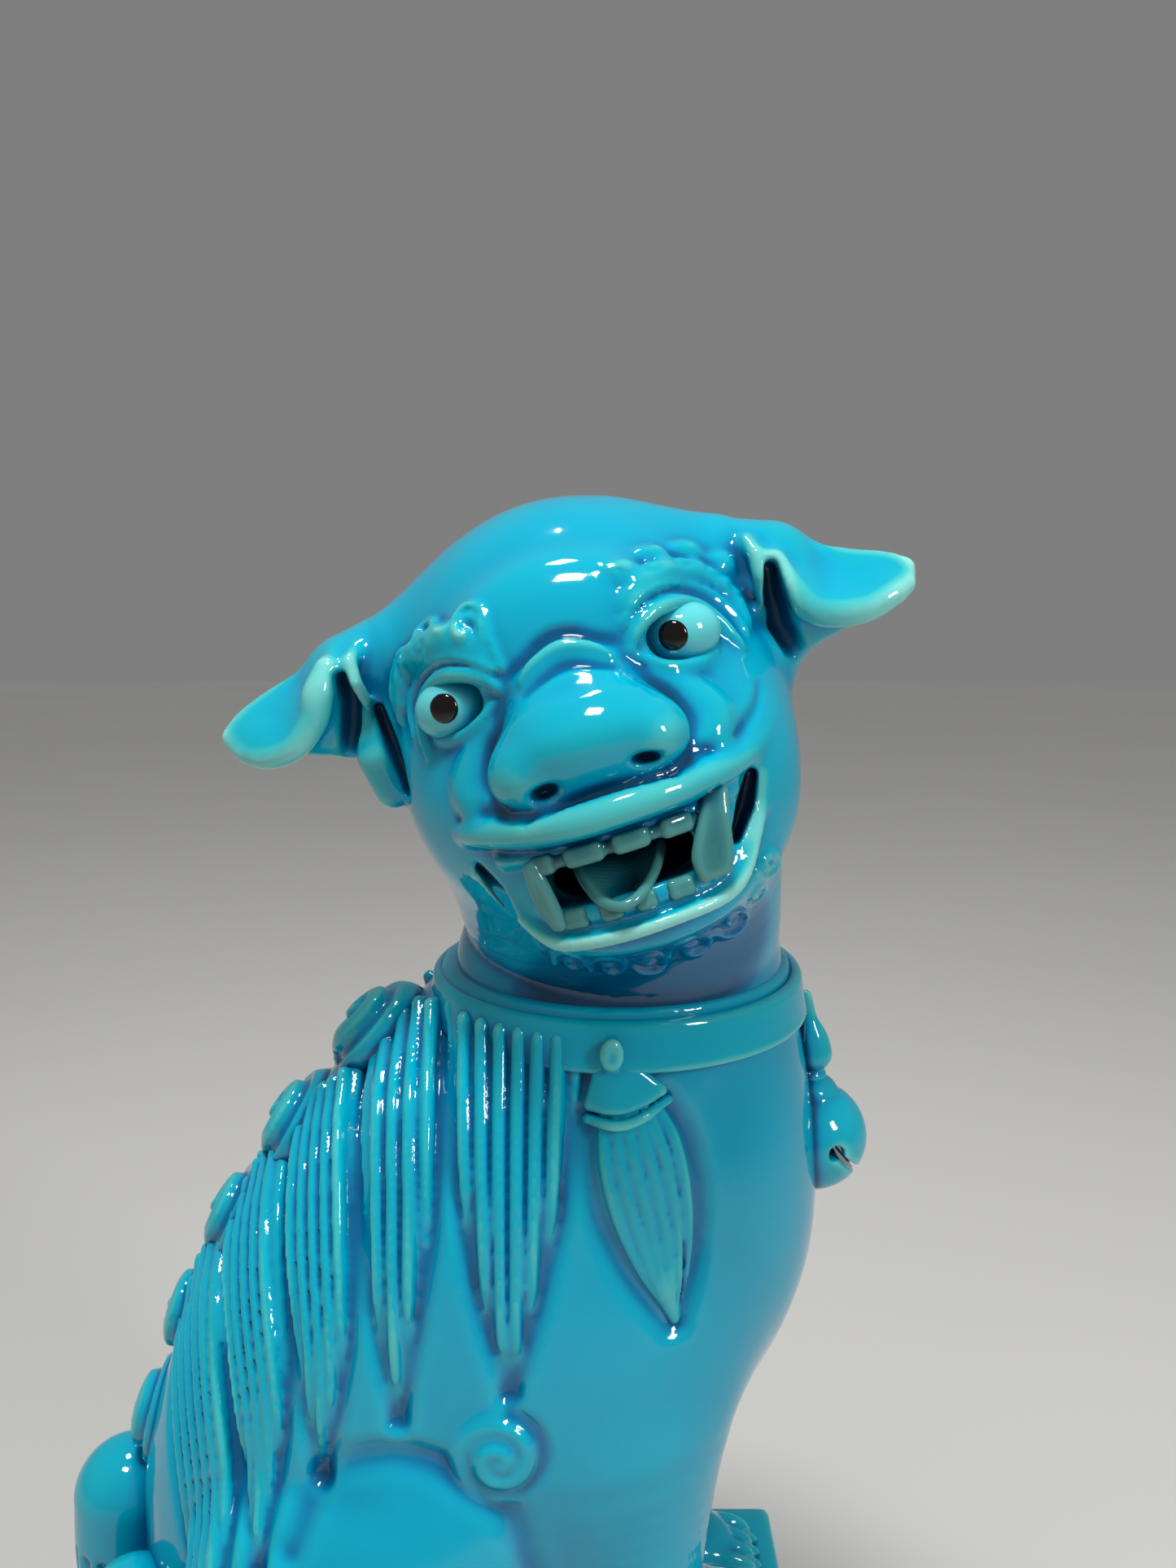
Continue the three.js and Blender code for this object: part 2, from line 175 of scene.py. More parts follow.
def sample(field, low, voxel, points):
    """The field's value at any points, by straight interpolation."""
    q = (np.asarray(points, float) - low) / voxel
    q = np.clip(q, 0, np.array(field.shape) - 1.001)
    i = q.astype(int)
    f = q - i
    total = 0
    for dx in (0, 1):
        for dy in (0, 1):
            for dz in (0, 1):
                weight = (
                    (f[:, 0] if dx else 1 - f[:, 0])
                    * (f[:, 1] if dy else 1 - f[:, 1])
                    * (f[:, 2] if dz else 1 - f[:, 2])
                )
                total = total + weight * field[i[:, 0] + dx, i[:, 1] + dy, i[:, 2] + dz]
    return total


class Clay:
    def __init__(self, low, high, voxel, frame=WORLD):
        self.voxel = voxel
        self.frame = frame
        self.low = np.floor(np.array(low, float) / voxel) * voxel
        counts = np.ceil((np.array(high, float) - self.low) / voxel).astype(int) + 1
        self.field = np.full(counts, FAR, np.float32)
        self.axes = [(self.low[i] + voxel * np.arange(counts[i])).astype(np.float32) for i in range(3)]

    def right_half_only(self):
        """Whether the clay stops near the middle plane, as the body's does."""
        return self.axes[1][-1] < 20

    def blank(self):
        """Empty clay on the same grid."""
        twin = copy.copy(self)
        twin.field = np.full_like(self.field, FAR)
        return twin

    def block(self, low, high):
        """The grid's slices between two corners, and its coordinates there."""
        slices = []
        for i in range(3):
            a = int(np.searchsorted(self.axes[i], low[i]))
            b = int(np.searchsorted(self.axes[i], high[i]))
            slices.append(slice(a, b))
        x, y, z = (self.axes[i][slices[i]] for i in range(3))
        return tuple(slices), x[:, None, None], y[None, :, None], z[None, None, :]

    def press(self, slices, distance, soft, carve):
        old = self.field[slices]
        if carve:
            self.field[slices] = -smooth_min(-old, distance, soft)
        else:
            self.field[slices] = smooth_min(old, distance, soft)

    def ellipsoid(self, centre, radii, turn=(0, 0, 0), soft=0.0, carve=False):
        c = self.frame.at(centre)
        m = self.frame.turned(turn)
        reach = np.sqrt(((m * np.array(radii)) ** 2).sum(1)) + soft + 2.5
        slices, x, y, z = self.block(c - reach, c + reach)
        x, y, z = x - c[0], y - c[1], z - c[2]
        k0 = k1 = 0
        for i in range(3):
            q = m[0, i] * x + m[1, i] * y + m[2, i] * z
            k0 = k0 + (q / radii[i]) ** 2
            k1 = k1 + (q / radii[i] ** 2) ** 2
        k0, k1 = np.sqrt(k0), np.sqrt(k1)
        self.press(slices, k0 * (k0 - 1) / np.maximum(k1, 1e-4), soft, carve)

    def stroke(self, points, radii, soft=0.0, carve=False):
        """A tapered rope through the points."""
        p = self.frame.at(points)
        r = np.broadcast_to(np.asarray(radii, float), len(p))
        reach = r.max() + soft + 2.5
        slices, x, y, z = self.block(p.min(0) - reach, p.max(0) + reach)
        start = [s.start for s in slices]
        rope = np.full([s.stop - s.start for s in slices], FAR, np.float32)
        for a, b, ra, rb in zip(p[:-1], p[1:], r[:-1], r[1:]):
            near = max(ra, rb) + soft + 2.5
            part, px, py, pz = self.block(np.minimum(a, b) - near, np.maximum(a, b) + near)
            part = tuple(slice(s.start - o, s.stop - o) for s, o in zip(part, start))
            px, py, pz = px - a[0], py - a[1], pz - a[2]
            d = b - a
            t = np.clip((px * d[0] + py * d[1] + pz * d[2]) / max(d @ d, 1e-9), 0, 1)
            vx, vy, vz = px - t * d[0], py - t * d[1], pz - t * d[2]
            distance = np.sqrt(vx * vx + vy * vy + vz * vz) - (ra + t * (rb - ra))
            rope[part] = np.minimum(rope[part], distance)
        self.press(slices, rope, soft, carve)

    def slab(self, low, high, round_by=0.5, soft=0.0, carve=False):
        """A block between two corners, in the grid's own axes, with rounded edges."""
        low, high = np.array(low, float), np.array(high, float)
        reach = soft + 2.5
        slices, x, y, z = self.block(low - reach, high + reach)
        c, half = (low + high) / 2, (high - low) / 2 - round_by
        q = [np.abs(v - c[i]) - half[i] for i, v in enumerate((x, y, z))]
        outside = np.sqrt(sum(np.maximum(v, 0) ** 2 for v in q))
        inside = np.minimum(np.maximum(np.maximum(q[0], q[1]), q[2]), 0)
        self.press(slices, outside + inside - round_by, soft, carve)

    def loft(self, rows):
        """A stack of level ellipses [z, x, radiusX, radiusY], smoothed between its rows."""
        rows = smooth_path(rows, 60)
        z = self.axes[2]
        cx, rx, ry = (np.interp(z, rows[:, 0], rows[:, i]) for i in (1, 2, 3))
        x, y = self.axes[0][:, None, None], self.axes[1][None, :, None]
        k0 = np.sqrt(((x - cx) / rx) ** 2 + (y / ry) ** 2)
        k1 = np.sqrt(((x - cx) / rx**2) ** 2 + (y / ry**2) ** 2)
        side = (k0 * (k0 - 1) / np.maximum(k1, 1e-4)) * 0.9
        ends = np.maximum(rows[0, 0] - z, z - rows[-1, 0])[None, None, :]
        self.press((slice(None),) * 3, np.maximum(side, ends).astype(np.float32), 0.0, False)

    def stand(self, height):
        """Trims the clay level at its foot."""
        below = (height - self.axes[2])[None, None, :]
        self.field = np.maximum(self.field, below.astype(np.float32))

    def cast(self, points, direction, reach=60, step=0.25):
        """Where lines from the points, in the clay's frame, first meet the clay, in that frame."""
        p = self.frame.at(points)
        d = self.frame.along(direction)
        travelled = np.zeros(len(p))
        open_ = np.ones(len(p), bool)
        before = np.ones(len(p))
        for _ in range(int(reach / step)):
            value = sample(self.field, self.low, self.voxel, p + travelled[:, None] * d)
            hit = open_ & (value <= 0)
            travelled[hit] += step * value[hit] / np.maximum(before[hit] - value[hit], 1e-6)
            open_ &= value > 0
            before = value
            travelled[open_] += step
        return np.asarray(points, float) + travelled[:, None] * np.asarray(direction, float)


def box_blur(field, cells):
    """A box blur, done twice, which weights the near cells most."""
    for _ in range(2):
        for axis in range(3):
            padded = np.concatenate(
                [np.repeat(np.take(field, [0], axis), cells + 1, axis), field,
                 np.repeat(np.take(field, [-1], axis), cells, axis)], axis)
            total = np.cumsum(padded, axis, dtype=np.float32)
            wide = 2 * cells + 1
            upper = np.take(total, range(wide, total.shape[axis]), axis)
            lower = np.take(total, range(0, total.shape[axis] - wide), axis)
            field = (upper - lower) / wide
    return field


def skin(clay, relax=2):
    """The field's surface as (vertices, quads): one vertex in each cell that the surface crosses."""
    f = clay.field
    s = f < 0
    corners = sum(
        s[dx : s.shape[0] - 1 + dx, dy : s.shape[1] - 1 + dy, dz : s.shape[2] - 1 + dz].astype(np.int8)
        for dx in (0, 1) for dy in (0, 1) for dz in (0, 1)
    )
    mixed = (corners > 0) & (corners < 8)
    index = np.full(mixed.shape, -1, np.int64)
    count = int(mixed.sum())
    index[mixed] = np.arange(count)
    total, hits = np.zeros((count, 3)), np.zeros(count)
    quads = []
    for axis in range(3):
        ahead = [slice(None)] * 3
        behind = [slice(None)] * 3
        ahead[axis], behind[axis] = slice(1, None), slice(None, -1)
        crossed = s[tuple(ahead)] != s[tuple(behind)]
        at = np.argwhere(crossed)
        a, b = f[tuple(behind)][crossed], f[tuple(ahead)][crossed]
        point = at.astype(float)
        point[:, axis] += a / (a - b)
        u, v = (axis + 1) % 3, (axis + 2) % 3
        ring = []
        for du, dv in ((0, 0), (-1, 0), (-1, -1), (0, -1)):
            cell = at.copy()
            cell[:, u] += du
            cell[:, v] += dv
            ok = ((cell >= 0) & (cell < np.array(mixed.shape))).all(1)
            ids = np.full(len(at), -1)
            ids[ok] = index[tuple(cell[ok].T)]
            good = ids >= 0
            for k in range(3):
                total[:, k] += np.bincount(ids[good], point[good, k], count)
            hits += np.bincount(ids[good], minlength=count)
            ring.append(ids)
        ring = np.stack(ring, 1)
        outward = s[tuple(behind)][crossed]
        ring[~outward] = ring[~outward][:, ::-1]
        quads.append(ring[(ring >= 0).all(1)])
    quads = np.vstack(quads)
    vertices = total / np.maximum(hits, 1)[:, None]
    for _ in range(relax):
        moved, links = np.zeros_like(vertices), np.zeros(count)
        for i in range(4):
            a, b = quads[:, i], quads[:, (i + 1) % 4]
            for p, q in ((a, b), (b, a)):
                for k in range(3):
                    moved[:, k] += np.bincount(p, vertices[q, k], count)
                links += np.bincount(p, minlength=count)
        vertices = 0.5 * vertices + 0.5 * moved / np.maximum(links, 1)[:, None]
    return vertices * clay.voxel + clay.low, quads


# ---------------------------------------------------------------- pieces
world = Clay(np.array(CAD_BOX[0]) / MM - 6, np.array(CAD_BOX[1]) / MM + 6, WORLD_VOXEL)
made = []


def remember(clay, mirror=False):
    """Adds the clay to the coarse field of the whole figure, which tells how sheltered each place is."""
    high = clay.low + clay.voxel * (np.array(clay.field.shape) - 1)
    low = clay.low.copy()
    if mirror:
        low[1], high[1] = -high[1], -low[1]
    slices, x, y, z = world.block(low, high)
    grid = np.stack(np.broadcast_arrays(x, y, z), -1).reshape(-1, 3)
    if mirror:
        grid = grid * (1, -1, 1)
    values = sample(clay.field, clay.low, clay.voxel, grid).reshape(world.field[slices].shape)
    world.field[slices] = np.minimum(world.field[slices], values)


sculpted = {}


def over(clay, base):
    """The clay laid on a bigger piece sculpted before, as the glaze flows over both."""
    grid = np.stack(np.meshgrid(*clay.axes, indexing="ij"), -1).reshape(-1, 3).astype(float)
    if base.right_half_only():  # then the left half reads its mirror image
        grid[:, 1] = -np.abs(grid[:, 1])
    under = sample(base.field, base.low, base.voxel, grid).reshape(clay.field.shape)
    whole = clay.blank()
    whole.field = np.minimum(clay.field, under.astype(np.float32))
    return whole


def occupancy(clay, reach):
    """How much clay there is around each point: 0.5 on a flat face, more in a hollow, less on an edge."""
    filled = np.clip(0.5 - clay.field / (2 * clay.voxel), 0, 1).astype(np.float32)
    return box_blur(filled, max(1, round(reach / clay.voxel)))


def evened(values, quads, rounds=3):
    """The vertices' values, each averaged with its neighbours'."""
    links = np.bincount(quads.ravel(), minlength=len(values))
    for _ in range(rounds):
        around = np.bincount(quads.ravel(), np.repeat(values[quads].mean(1), 4), len(values))
        values = around / np.maximum(links, 1)
    return values


def piece(name, nodes, clay, material, mirror=None, relax=2, cut_middle=False,
          base=None, reach=0.8, gain=1.0, painted_shade_pools=()):
    """The clay as an object that stands for the CAD nodes. mirror names its twin on the other flank."""
    if SEAT - 2 < clay.low[2] < SEAT:
        clay.stand(SEAT)
    vertices, quads = skin(clay, relax)
    around = occupancy(over(clay, sculpted[base]) if base else clay, reach)
    near = 0.5 + gain * (evened(sample(around, clay.low, clay.voxel, vertices), quads) - 0.5)
    local = (vertices - clay.frame.origin) @ clay.frame.turn
    for centre, radii, amount in painted_shade_pools:  # painted shade: the glaze is darkened in these places where shade falls; in the mouth some glaze pools as well
        away = np.linalg.norm((local - centre) / np.array(radii), axis=1)
        near = near + amount * np.clip(2.5 * (1 - away), 0, 1)
    twins = [(name, nodes, False)]
    if mirror:
        twins.append((mirror[0], mirror[1], True))
    for twin, stands_for, flipped in twins:
        remember(clay, flipped)
        mesh = bpy.data.meshes.new(twin)
        points = vertices * (1, -1, 1) if flipped else vertices
        faces = quads[:, ::-1] if flipped else quads
        mesh.from_pydata((points * MM).tolist(), [], faces.tolist())
        # edge holds how the glaze thins or pools, plus the painted shade added above
        mesh.attributes.new("edge", "FLOAT", "POINT").data.foreach_set("value", near.astype(np.float32))
        mesh.polygons.foreach_set("use_smooth", np.ones(len(faces), bool))
        obj = bpy.data.objects.new(twin, mesh)
        bpy.context.scene.collection.objects.link(obj)
        mesh.materials.append(material)
        if cut_middle:
            halve(mesh, flipped)
        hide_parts(*stands_for)
        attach(obj, "root")
        made.append(obj)


def halve(mesh, far_side):
    """Cuts the mesh on the middle plane and closes it there."""
    bm = bmesh.new()
    bm.from_mesh(mesh)
    geometry = bm.verts[:] + bm.edges[:] + bm.faces[:]
    normal = (0, -1, 0) if far_side else (0, 1, 0)
    result = bmesh.ops.bisect_plane(bm, geom=geometry, plane_co=(0, 0, 0), plane_no=normal, clear_outer=True)
    rim = [e for e in result["geom_cut"] if isinstance(e, bmesh.types.BMEdge)]
    caps = bmesh.ops.holes_fill(bm, edges=rim, sides=0)["faces"]
    for face in caps:
        face.smooth = False
    for edge in rim:
        edge.smooth = False
    bm.to_mesh(mesh)
    bm.free()


def shelter():
    """Writes on every vertex how sheltered it is by the whole figure; the wider of the two values darkens the
    glaze as painted shade.
    """
    painted_broad_shade = occupancy(world, 8)
    close = occupancy(world, 1.5)
    for obj in made:
        points = np.empty(len(obj.data.vertices) * 3)
        obj.data.vertices.foreach_get("co", points)
        points = points.reshape(-1, 3) / MM
        for label, field in (("painted_broad_shade", painted_broad_shade), ("close", close)):
            values = sample(field, world.low, world.voxel, points).astype(np.float32)
            obj.data.attributes.new(label, "FLOAT", "POINT").data.foreach_set("value", values)


# ---------------------------------------------------------------- glaze
def srgb(r, g, b):
    """An 8-bit sRGB colour as linear numbers."""
    linear = [c / 255 / 12.92 if c <= 10 else ((c / 255 + 0.055) / 1.055) ** 2.4 for c in (r, g, b)]
    return (*linear, 1)


class Nodes:
    """A short way to write a material's node graph."""

    def __init__(self, name):
        self.material = bpy.data.materials.new(name)
        self.material.use_nodes = True
        self.tree = self.material.node_tree
        self.shader = self.tree.nodes["Principled BSDF"]

    def add(self, kind, **settings):
        node = self.tree.nodes.new(kind)
        for key, value in settings.items():
            setattr(node, key, value)
        return node

    def put(self, socket, value):
        if isinstance(value, bpy.types.NodeSocket):
            self.tree.links.new(value, socket)
        else:
            socket.default_value = value

    def math(self, operation, a, b=0.0, clamp=False):
        node = self.add("ShaderNodeMath", operation=operation, use_clamp=clamp)
        self.put(node.inputs[0], a)
        self.put(node.inputs[1], b)
        return node.outputs[0]

    def span(self, value, low, high):
        """0 at low, 1 at high, eased between them."""
        node = self.add("ShaderNodeMapRange", interpolation_type="SMOOTHSTEP")
        for socket, v in zip(node.inputs, (value, low, high)):
            self.put(socket, v)
        return node.outputs[0]

    def attribute(self, name):
        return self.add("ShaderNodeAttribute", attribute_name=name).outputs["Fac"]

    def noise(self, scale, detail=2.0, stretch=(1, 1, 1)):
        place = self.add("ShaderNodeMapping")
        self.put(place.inputs["Vector"], self.add("ShaderNodeTexCoord").outputs["Object"])
        place.inputs["Scale"].default_value = stretch
        node = self.add("ShaderNodeTexNoise")
        self.put(node.inputs["Vector"], place.outputs["Vector"])
        node.inputs["Scale"].default_value = scale
        node.inputs["Detail"].default_value = detail
        return node.outputs["Fac"]

    def mix(self, factor, a, b):
        node = self.add("ShaderNodeMix", data_type="RGBA", blend_type="MIX")
        self.put(node.inputs["Factor"], factor)
        self.put(node.inputs["A"], a)
        self.put(node.inputs["B"], b)
        return node.outputs["Result"]

    def ramp(self, value, stops):
        node = self.add("ShaderNodeValToRGB")
        self.put(node.inputs["Fac"], value)
        elements = node.color_ramp.elements
        while len(elements) < len(stops):
            elements.new(0.5)
        for element, (position, color) in zip(elements, stops):
            element.position = position
            element.color = color
        return node.outputs["Color"]


def glaze(name, stops, roughness=0.07, pinholes=True):
    """Glass over white clay: dark where it pools in a hollow, pale where it breaks over an edge, and darker
    as painted shade where the figure shelters it.
    """
    n = Nodes(name)
    # 0 in the deepest hollow or the deepest painted shade, 0.5 on a plain face, 1 on a sharp edge
    edge = n.span(n.attribute("edge"), 0.72, 0.28)
    close = n.span(n.attribute("close"), 0.78, 0.22)
    # painted shade: this wide value darkens the glaze across places the whole figure shelters, such as the
    # undersides and under the chin
    painted_broad_shade = n.span(n.attribute("painted_broad_shade"), 0.86, 0.14)
    thin = n.math("ADD", n.math("MULTIPLY", edge, 0.5), n.math("MULTIPLY", close, 0.25))
    thin = n.math("ADD", thin, n.math("MULTIPLY", painted_broad_shade, 0.25))
    flow = n.noise(90, 3, (1, 1, 0.35))
    patches = n.noise(28, 2)
    thin = n.math("ADD", thin, n.math("MULTIPLY", n.math("SUBTRACT", flow, 0.5), 0.1))
    thin = n.math("ADD", thin, n.math("MULTIPLY", n.math("SUBTRACT", patches, 0.5), 0.12), True)
    color = n.ramp(thin, stops)
    bump = n.add("ShaderNodeBump")
    bump.inputs["Strength"].default_value = 0.1
    bump.inputs["Distance"].default_value = 0.0005
    ripple = n.noise(160, 1)
    if pinholes:
        spots = n.add("ShaderNodeTexVoronoi", feature="F1")
        n.put(spots.inputs["Vector"], n.add("ShaderNodeTexCoord").outputs["Object"])
        spots.inputs["Scale"].default_value = 60
        size = n.math("MULTIPLY", n.math("POWER", n.noise(45, 0), 9.0), 0.55)
        hole = n.math("LESS_THAN", spots.outputs["Distance"], size)
        color = n.mix(hole, color, srgb(12, 44, 56))
        ripple = n.math("SUBTRACT", ripple, n.math("MULTIPLY", hole, 0.5))
    n.put(bump.inputs["Height"], ripple)
    n.put(n.shader.inputs["Normal"], bump.outputs["Normal"])
    n.put(n.shader.inputs["Base Color"], color)
    n.shader.inputs["Roughness"].default_value = roughness
    n.shader.inputs["IOR"].default_value = 1.5
    return n.material


# The dark end of the ramp is glaze pooled in hollows and also painted shade under the chin and in sheltered
# places.
TURQUOISE = glaze("turquoise_glaze", [
    (0.12, srgb(0, 60, 94)),
    (0.32, srgb(0, 104, 152)),
    (0.46, srgb(0, 146, 180)),
    (0.60, srgb(0, 160, 188)),
    (0.76, srgb(12, 164, 182)),
    (0.90, srgb(74, 184, 184)),
    (1.00, srgb(136, 208, 198)),
])
# painted shade: a darker, greyer copy of the turquoise glaze for the teeth, fangs and tongue, standing in for
# the shade inside the mouth under the muzzle
SHADED_MOUTH_GLAZE = glaze("mouth_glaze", [
    (0.12, srgb(0, 24, 40)),
    (0.42, srgb(0, 56, 76)),
    (0.64, srgb(8, 82, 98)),
    (0.90, srgb(70, 136, 134)),
], pinholes=False)
EYE = glaze("eye_glaze", [
    (0.20, srgb(0, 84, 140)),
    (0.45, srgb(10, 150, 180)),
    (0.70, srgb(90, 194, 200)),
], roughness=0.04, pinholes=False)
PUPIL = glaze("pupil_glaze", [
    (0.2, srgb(6, 2, 2)),
    (0.8, srgb(14, 5, 4)),
], roughness=0.04, pinholes=False)


# ---------------------------------------------------------------- head
def spiral(centre, across, up, radius, turns, start=0.0, hand=1, count=60):
    """Points of a spiral from its eye outwards, in the plane of two directions."""
    t = np.linspace(0.06, 1, count)
    angle = math.radians(start) + hand * 2 * math.pi * turns * t
    across, up = np.array(across, float), np.array(up, float)
    reach = (radius * t)[:, None]
    return np.array(centre) + reach * (np.cos(angle)[:, None] * across + np.sin(angle)[:, None] * up)


def landed(clay, line):
    """Where the points [across, up] meet the clay on lines along +Y."""
    line = np.asarray(line, float)
    return clay.cast(np.stack([line[:, 0], np.full(len(line), RAY_START), line[:, 1]], 1), (0, 1, 0))


def laid(clay, line):
    """The same points, with their depth evened out along the line."""
    on = landed(clay, line)
    on[:, 1] = np.convolve(np.pad(on[:, 1], 2, "edge"), np.ones(5) / 5, "valid")
    return on


def relief(clay, rows, height, soft=0.8, count=30, sink=0.4, carve=False):
    """A ridge, or a groove, laid on the clay along [across, up, radius] rows."""
    line = smooth_path(rows, count)
    on = laid(clay, line)
    radii = np.maximum(line[:, 2], 0.15)
    on[:, 1] += radii * sink if not carve else 0
    on[:, 1] -= height
    clay.stroke(on, radii, soft, carve)


def mirror_rows(rows):
    return [(-row[0], *row[1:]) for row in rows]


EYE_OUT = 15
EYE_UP = 6.0
MUZZLE_BEND = 0.035  # how fast the mouth falls back to either side, per mm


def bent(rows, front, count=40):
    """[across, up, radius] rows laid along the muzzle's curve, as points and radii."""
    line = smooth_path(rows, count)
    return np.stack([line[:, 0], front + MUZZLE_BEND * line[:, 0] ** 2, line[:, 1]], 1), line[:, 2]


def with_radius(rows, radius):
    return [(*row, radius) for row in rows]


def bore(clay, points, radii, near, far, soft=0.3):
    """Cuts straight back along the head's own Y, with the outline of a rope in X and Z."""
    for depth in np.arange(near, far, 0.5):
        clay.stroke([(x, depth, z) for x, z in points], radii, soft, carve=True)


def sculpt_skull(clay):
    e, s = clay.ellipsoid, clay.stroke
    e((0, 0, 2), (28.4, 27, 29.5))
    e((0, -17, -8), (19, 18, 10), soft=6)  # muzzle
    e((-13, -10, -9), (12, 13, 13), soft=8)  # right cheek
    e((14, -10, -11), (11.5, 14, 17), soft=8)  # left cheek, the fuller one under the tilted head
    e((1, -14, -24), (16, 17, 8.4), soft=5)  # jaw
    e((0, -22, 10), (14, 5, 9), soft=6)  # forehead
    # the dome runs out into both ears
    s([(10, -2, 17.5), (22, -4, 13.6), (30, -6, 11.8)], [9, 8.6, 6.4], 4)
    s([(-10, -2, 17.5), (-22, -4, 14.8), (-30, -6, 15)], [9, 8.4, 6.4], 4)


def sculpt_ear(clay, stations, back, rims, slots):
    """A flap: a sheet through the stations' top edge, channel and front rim, over a swelling behind it."""
    s = clay.stroke
    line = smooth_path(back, 16)
    s(line[:, :3], line[:, 3], 3)
    flap = clay.blank()
    rows = smooth_path([[*top, *middle, *rim, radius] for top, middle, rim, radius in stations], 44)
    for row in rows:
        across = smooth_path(row[:9].reshape(3, 3), 7)
        flap.stroke(across, row[9])
    clay.field = smooth_min(clay.field, flap.field, 2.2)
    for points, radii in rims:
        s(points, radii, 1.0)
    for points, radii, near, far in slots:
        bore(clay, points, radii, near, far, 0.7)


def sculpt_ears(clay):
    sculpt_ear(
        clay,
        [((26, -4, 16.2), (28, -7, 13), (29.6, -13.5, 11.4), 2.2),
         ((31, -5, 15.4), (32, -9.5, 11), (31, -14.5, 7.4), 2.2),
         ((35, -6, 12.0), (35.2, -10, 7.8), (33.6, -15, 3.8), 2.1),
         ((40, -8, 9.2), (39.8, -11, 5.4), (38.6, -15, 2.2), 1.9),
         ((44.4, -9, 7.4), (43.6, -11.5, 4.7), (43.2, -14, 2.9), 1.7),
         ((46.6, -10.5, 5.9), (46, -11.5, 4.6), (45.6, -12.5, 3.8), 1.5)],
        [(24, -4, 1, 6.5), (30, -7, 3.6, 4.8), (37, -9.5, 3.4, 2.8), (43, -11, 3.8, 1.6)],
        [([(27.6, -11.5, 15.6), (28, -14, 13.4), (27.7, -14.6, 10.6), (27.2, -13, 7.4)],
          [1.2, 1.1, 1.1, 0.8])],
        [([(29.3, 11.2), (28.8, 8), (28.6, 4), (29.6, 0)], [0.7, 1.1, 1.4, 1.2], -19, -9.5)])
    sculpt_ear(
        clay,
        [((-26, -4, 19.8), (-29, -7, 18), (-31, -13.5, 16.2), 2.2),
         ((-31, -5, 18.8), (-32, -9.5, 16.2), (-33, -15, 13.6), 2.2),
         ((-36, -6, 16.6), (-36, -10.5, 13.4), (-34.8, -15, 10.6), 2.1),
         ((-41, -8, 15.2), (-40.4, -11.5, 11.6), (-38.2, -15, 8), 1.9),
         ((-45, -9.5, 13.6), (-44, -11.8, 10.9), (-42.4, -14, 7.8), 1.8),
         ((-47.4, -10.5, 12.0), (-46.6, -11.5, 10.7), (-45.6, -12.5, 9.4), 1.6)],
        [(-23, -4, 6, 6.5), (-30, -7, 8.4, 5), (-37, -9.5, 9.4, 3.2), (-42, -11, 10, 1.8)],
        [([(-27, -10.5, 18.4), (-28, -13.6, 16.6), (-28, -14.4, 13.6), (-27.4, -13, 10.6)],
          [1.2, 1.1, 1.1, 0.8]),
         ([(-28.4, -9, 8.6), (-29, -10, 3.4), (-28.8, -8, -1.6)], [2.2, 2.9, 2.6])],
        [([(-29.6, 14.8), (-29.8, 11.6), (-31, 8.4), (-32.6, 5.4)], [0.7, 1.1, 1.2, 0.8], -19, -9.5),
         ([(-26.6, 9.6), (-26.4, 5), (-26.2, 1), (-26.2, -2.4)], [0.6, 0.8, 0.8, 0.5], -18, -9)])


def sculpt_nose(clay):
    e = clay.ellipsoid
    for side in (-1, 1):
        clay.stroke([(side * 1.2, -21.5, 7), (side * 2, -26.2, 2.8), (side * 2.6, -29, -2)], [3.4, 5.4, 7], 3)
    e((0, -30.2, -3.3), (11, 8, 5.3), soft=2.5)
    for side in (-1, 1):
        e((side * 8.2, -30.8, -5.1), (4.1, 5.4, 3.6), soft=2.5)
        # a soft fold of the cheek lies along the nose
        fold = [(side * 10.6, 1.4, 1.2), (side * 13.4, -1.4, 2.0), (side * 15.4, -4.8, 2.4),
                (side * 15, -7.6, 1.6)]
        relief(clay, fold, 0, 2.0, sink=0.75)
        rows = [(9.6, 1.6, 0.2), (11.6, -0.8, 0.6), (13.1, -4.8, 0.95), (12, -8.2, 0.9), (9, -9.7, 0.6)]
        relief(clay, rows if side > 0 else mirror_rows(rows), 0.1, soft=0.9, carve=True)
    # nostrils open down and forward, the right one wider
    e((-6.2, -37, -7.5), (2.3, 4.4, 1.0), (0, -6, 0), soft=0.4, carve=True)
    e((6.6, -37, -7.2), (2.1, 4.4, 0.8), (0, 8, 0), soft=0.4, carve=True)
    relief(clay, [(-9, -9.7, 0.6), (-4, -9.6, 0.55), (0, -9.4, 0.6), (4, -9.6, 0.55), (9, -9.7, 0.6)], 0,
           0.8, carve=True)
    # the wrinkle over the bridge
    relief(clay, [(-5.4, 4.2, 0.4), (0.4, 6.2, 0.7), (6.2, 4.2, 0.4)], 0, 0.8, carve=True)
    relief(clay, [(-5.4, 5.8, 0.5), (-3, 7.4, 0.9), (0.6, 8.3, 1.2), (4, 7.3, 0.9), (6.2, 5.6, 0.5)], 0.3,
           0.5)
    relief(clay, [(-6.4, 7.6, 0.4), (0.4, 10.4, 0.6), (6.8, 7.6, 0.4)], 0.0, 1.0, carve=True)


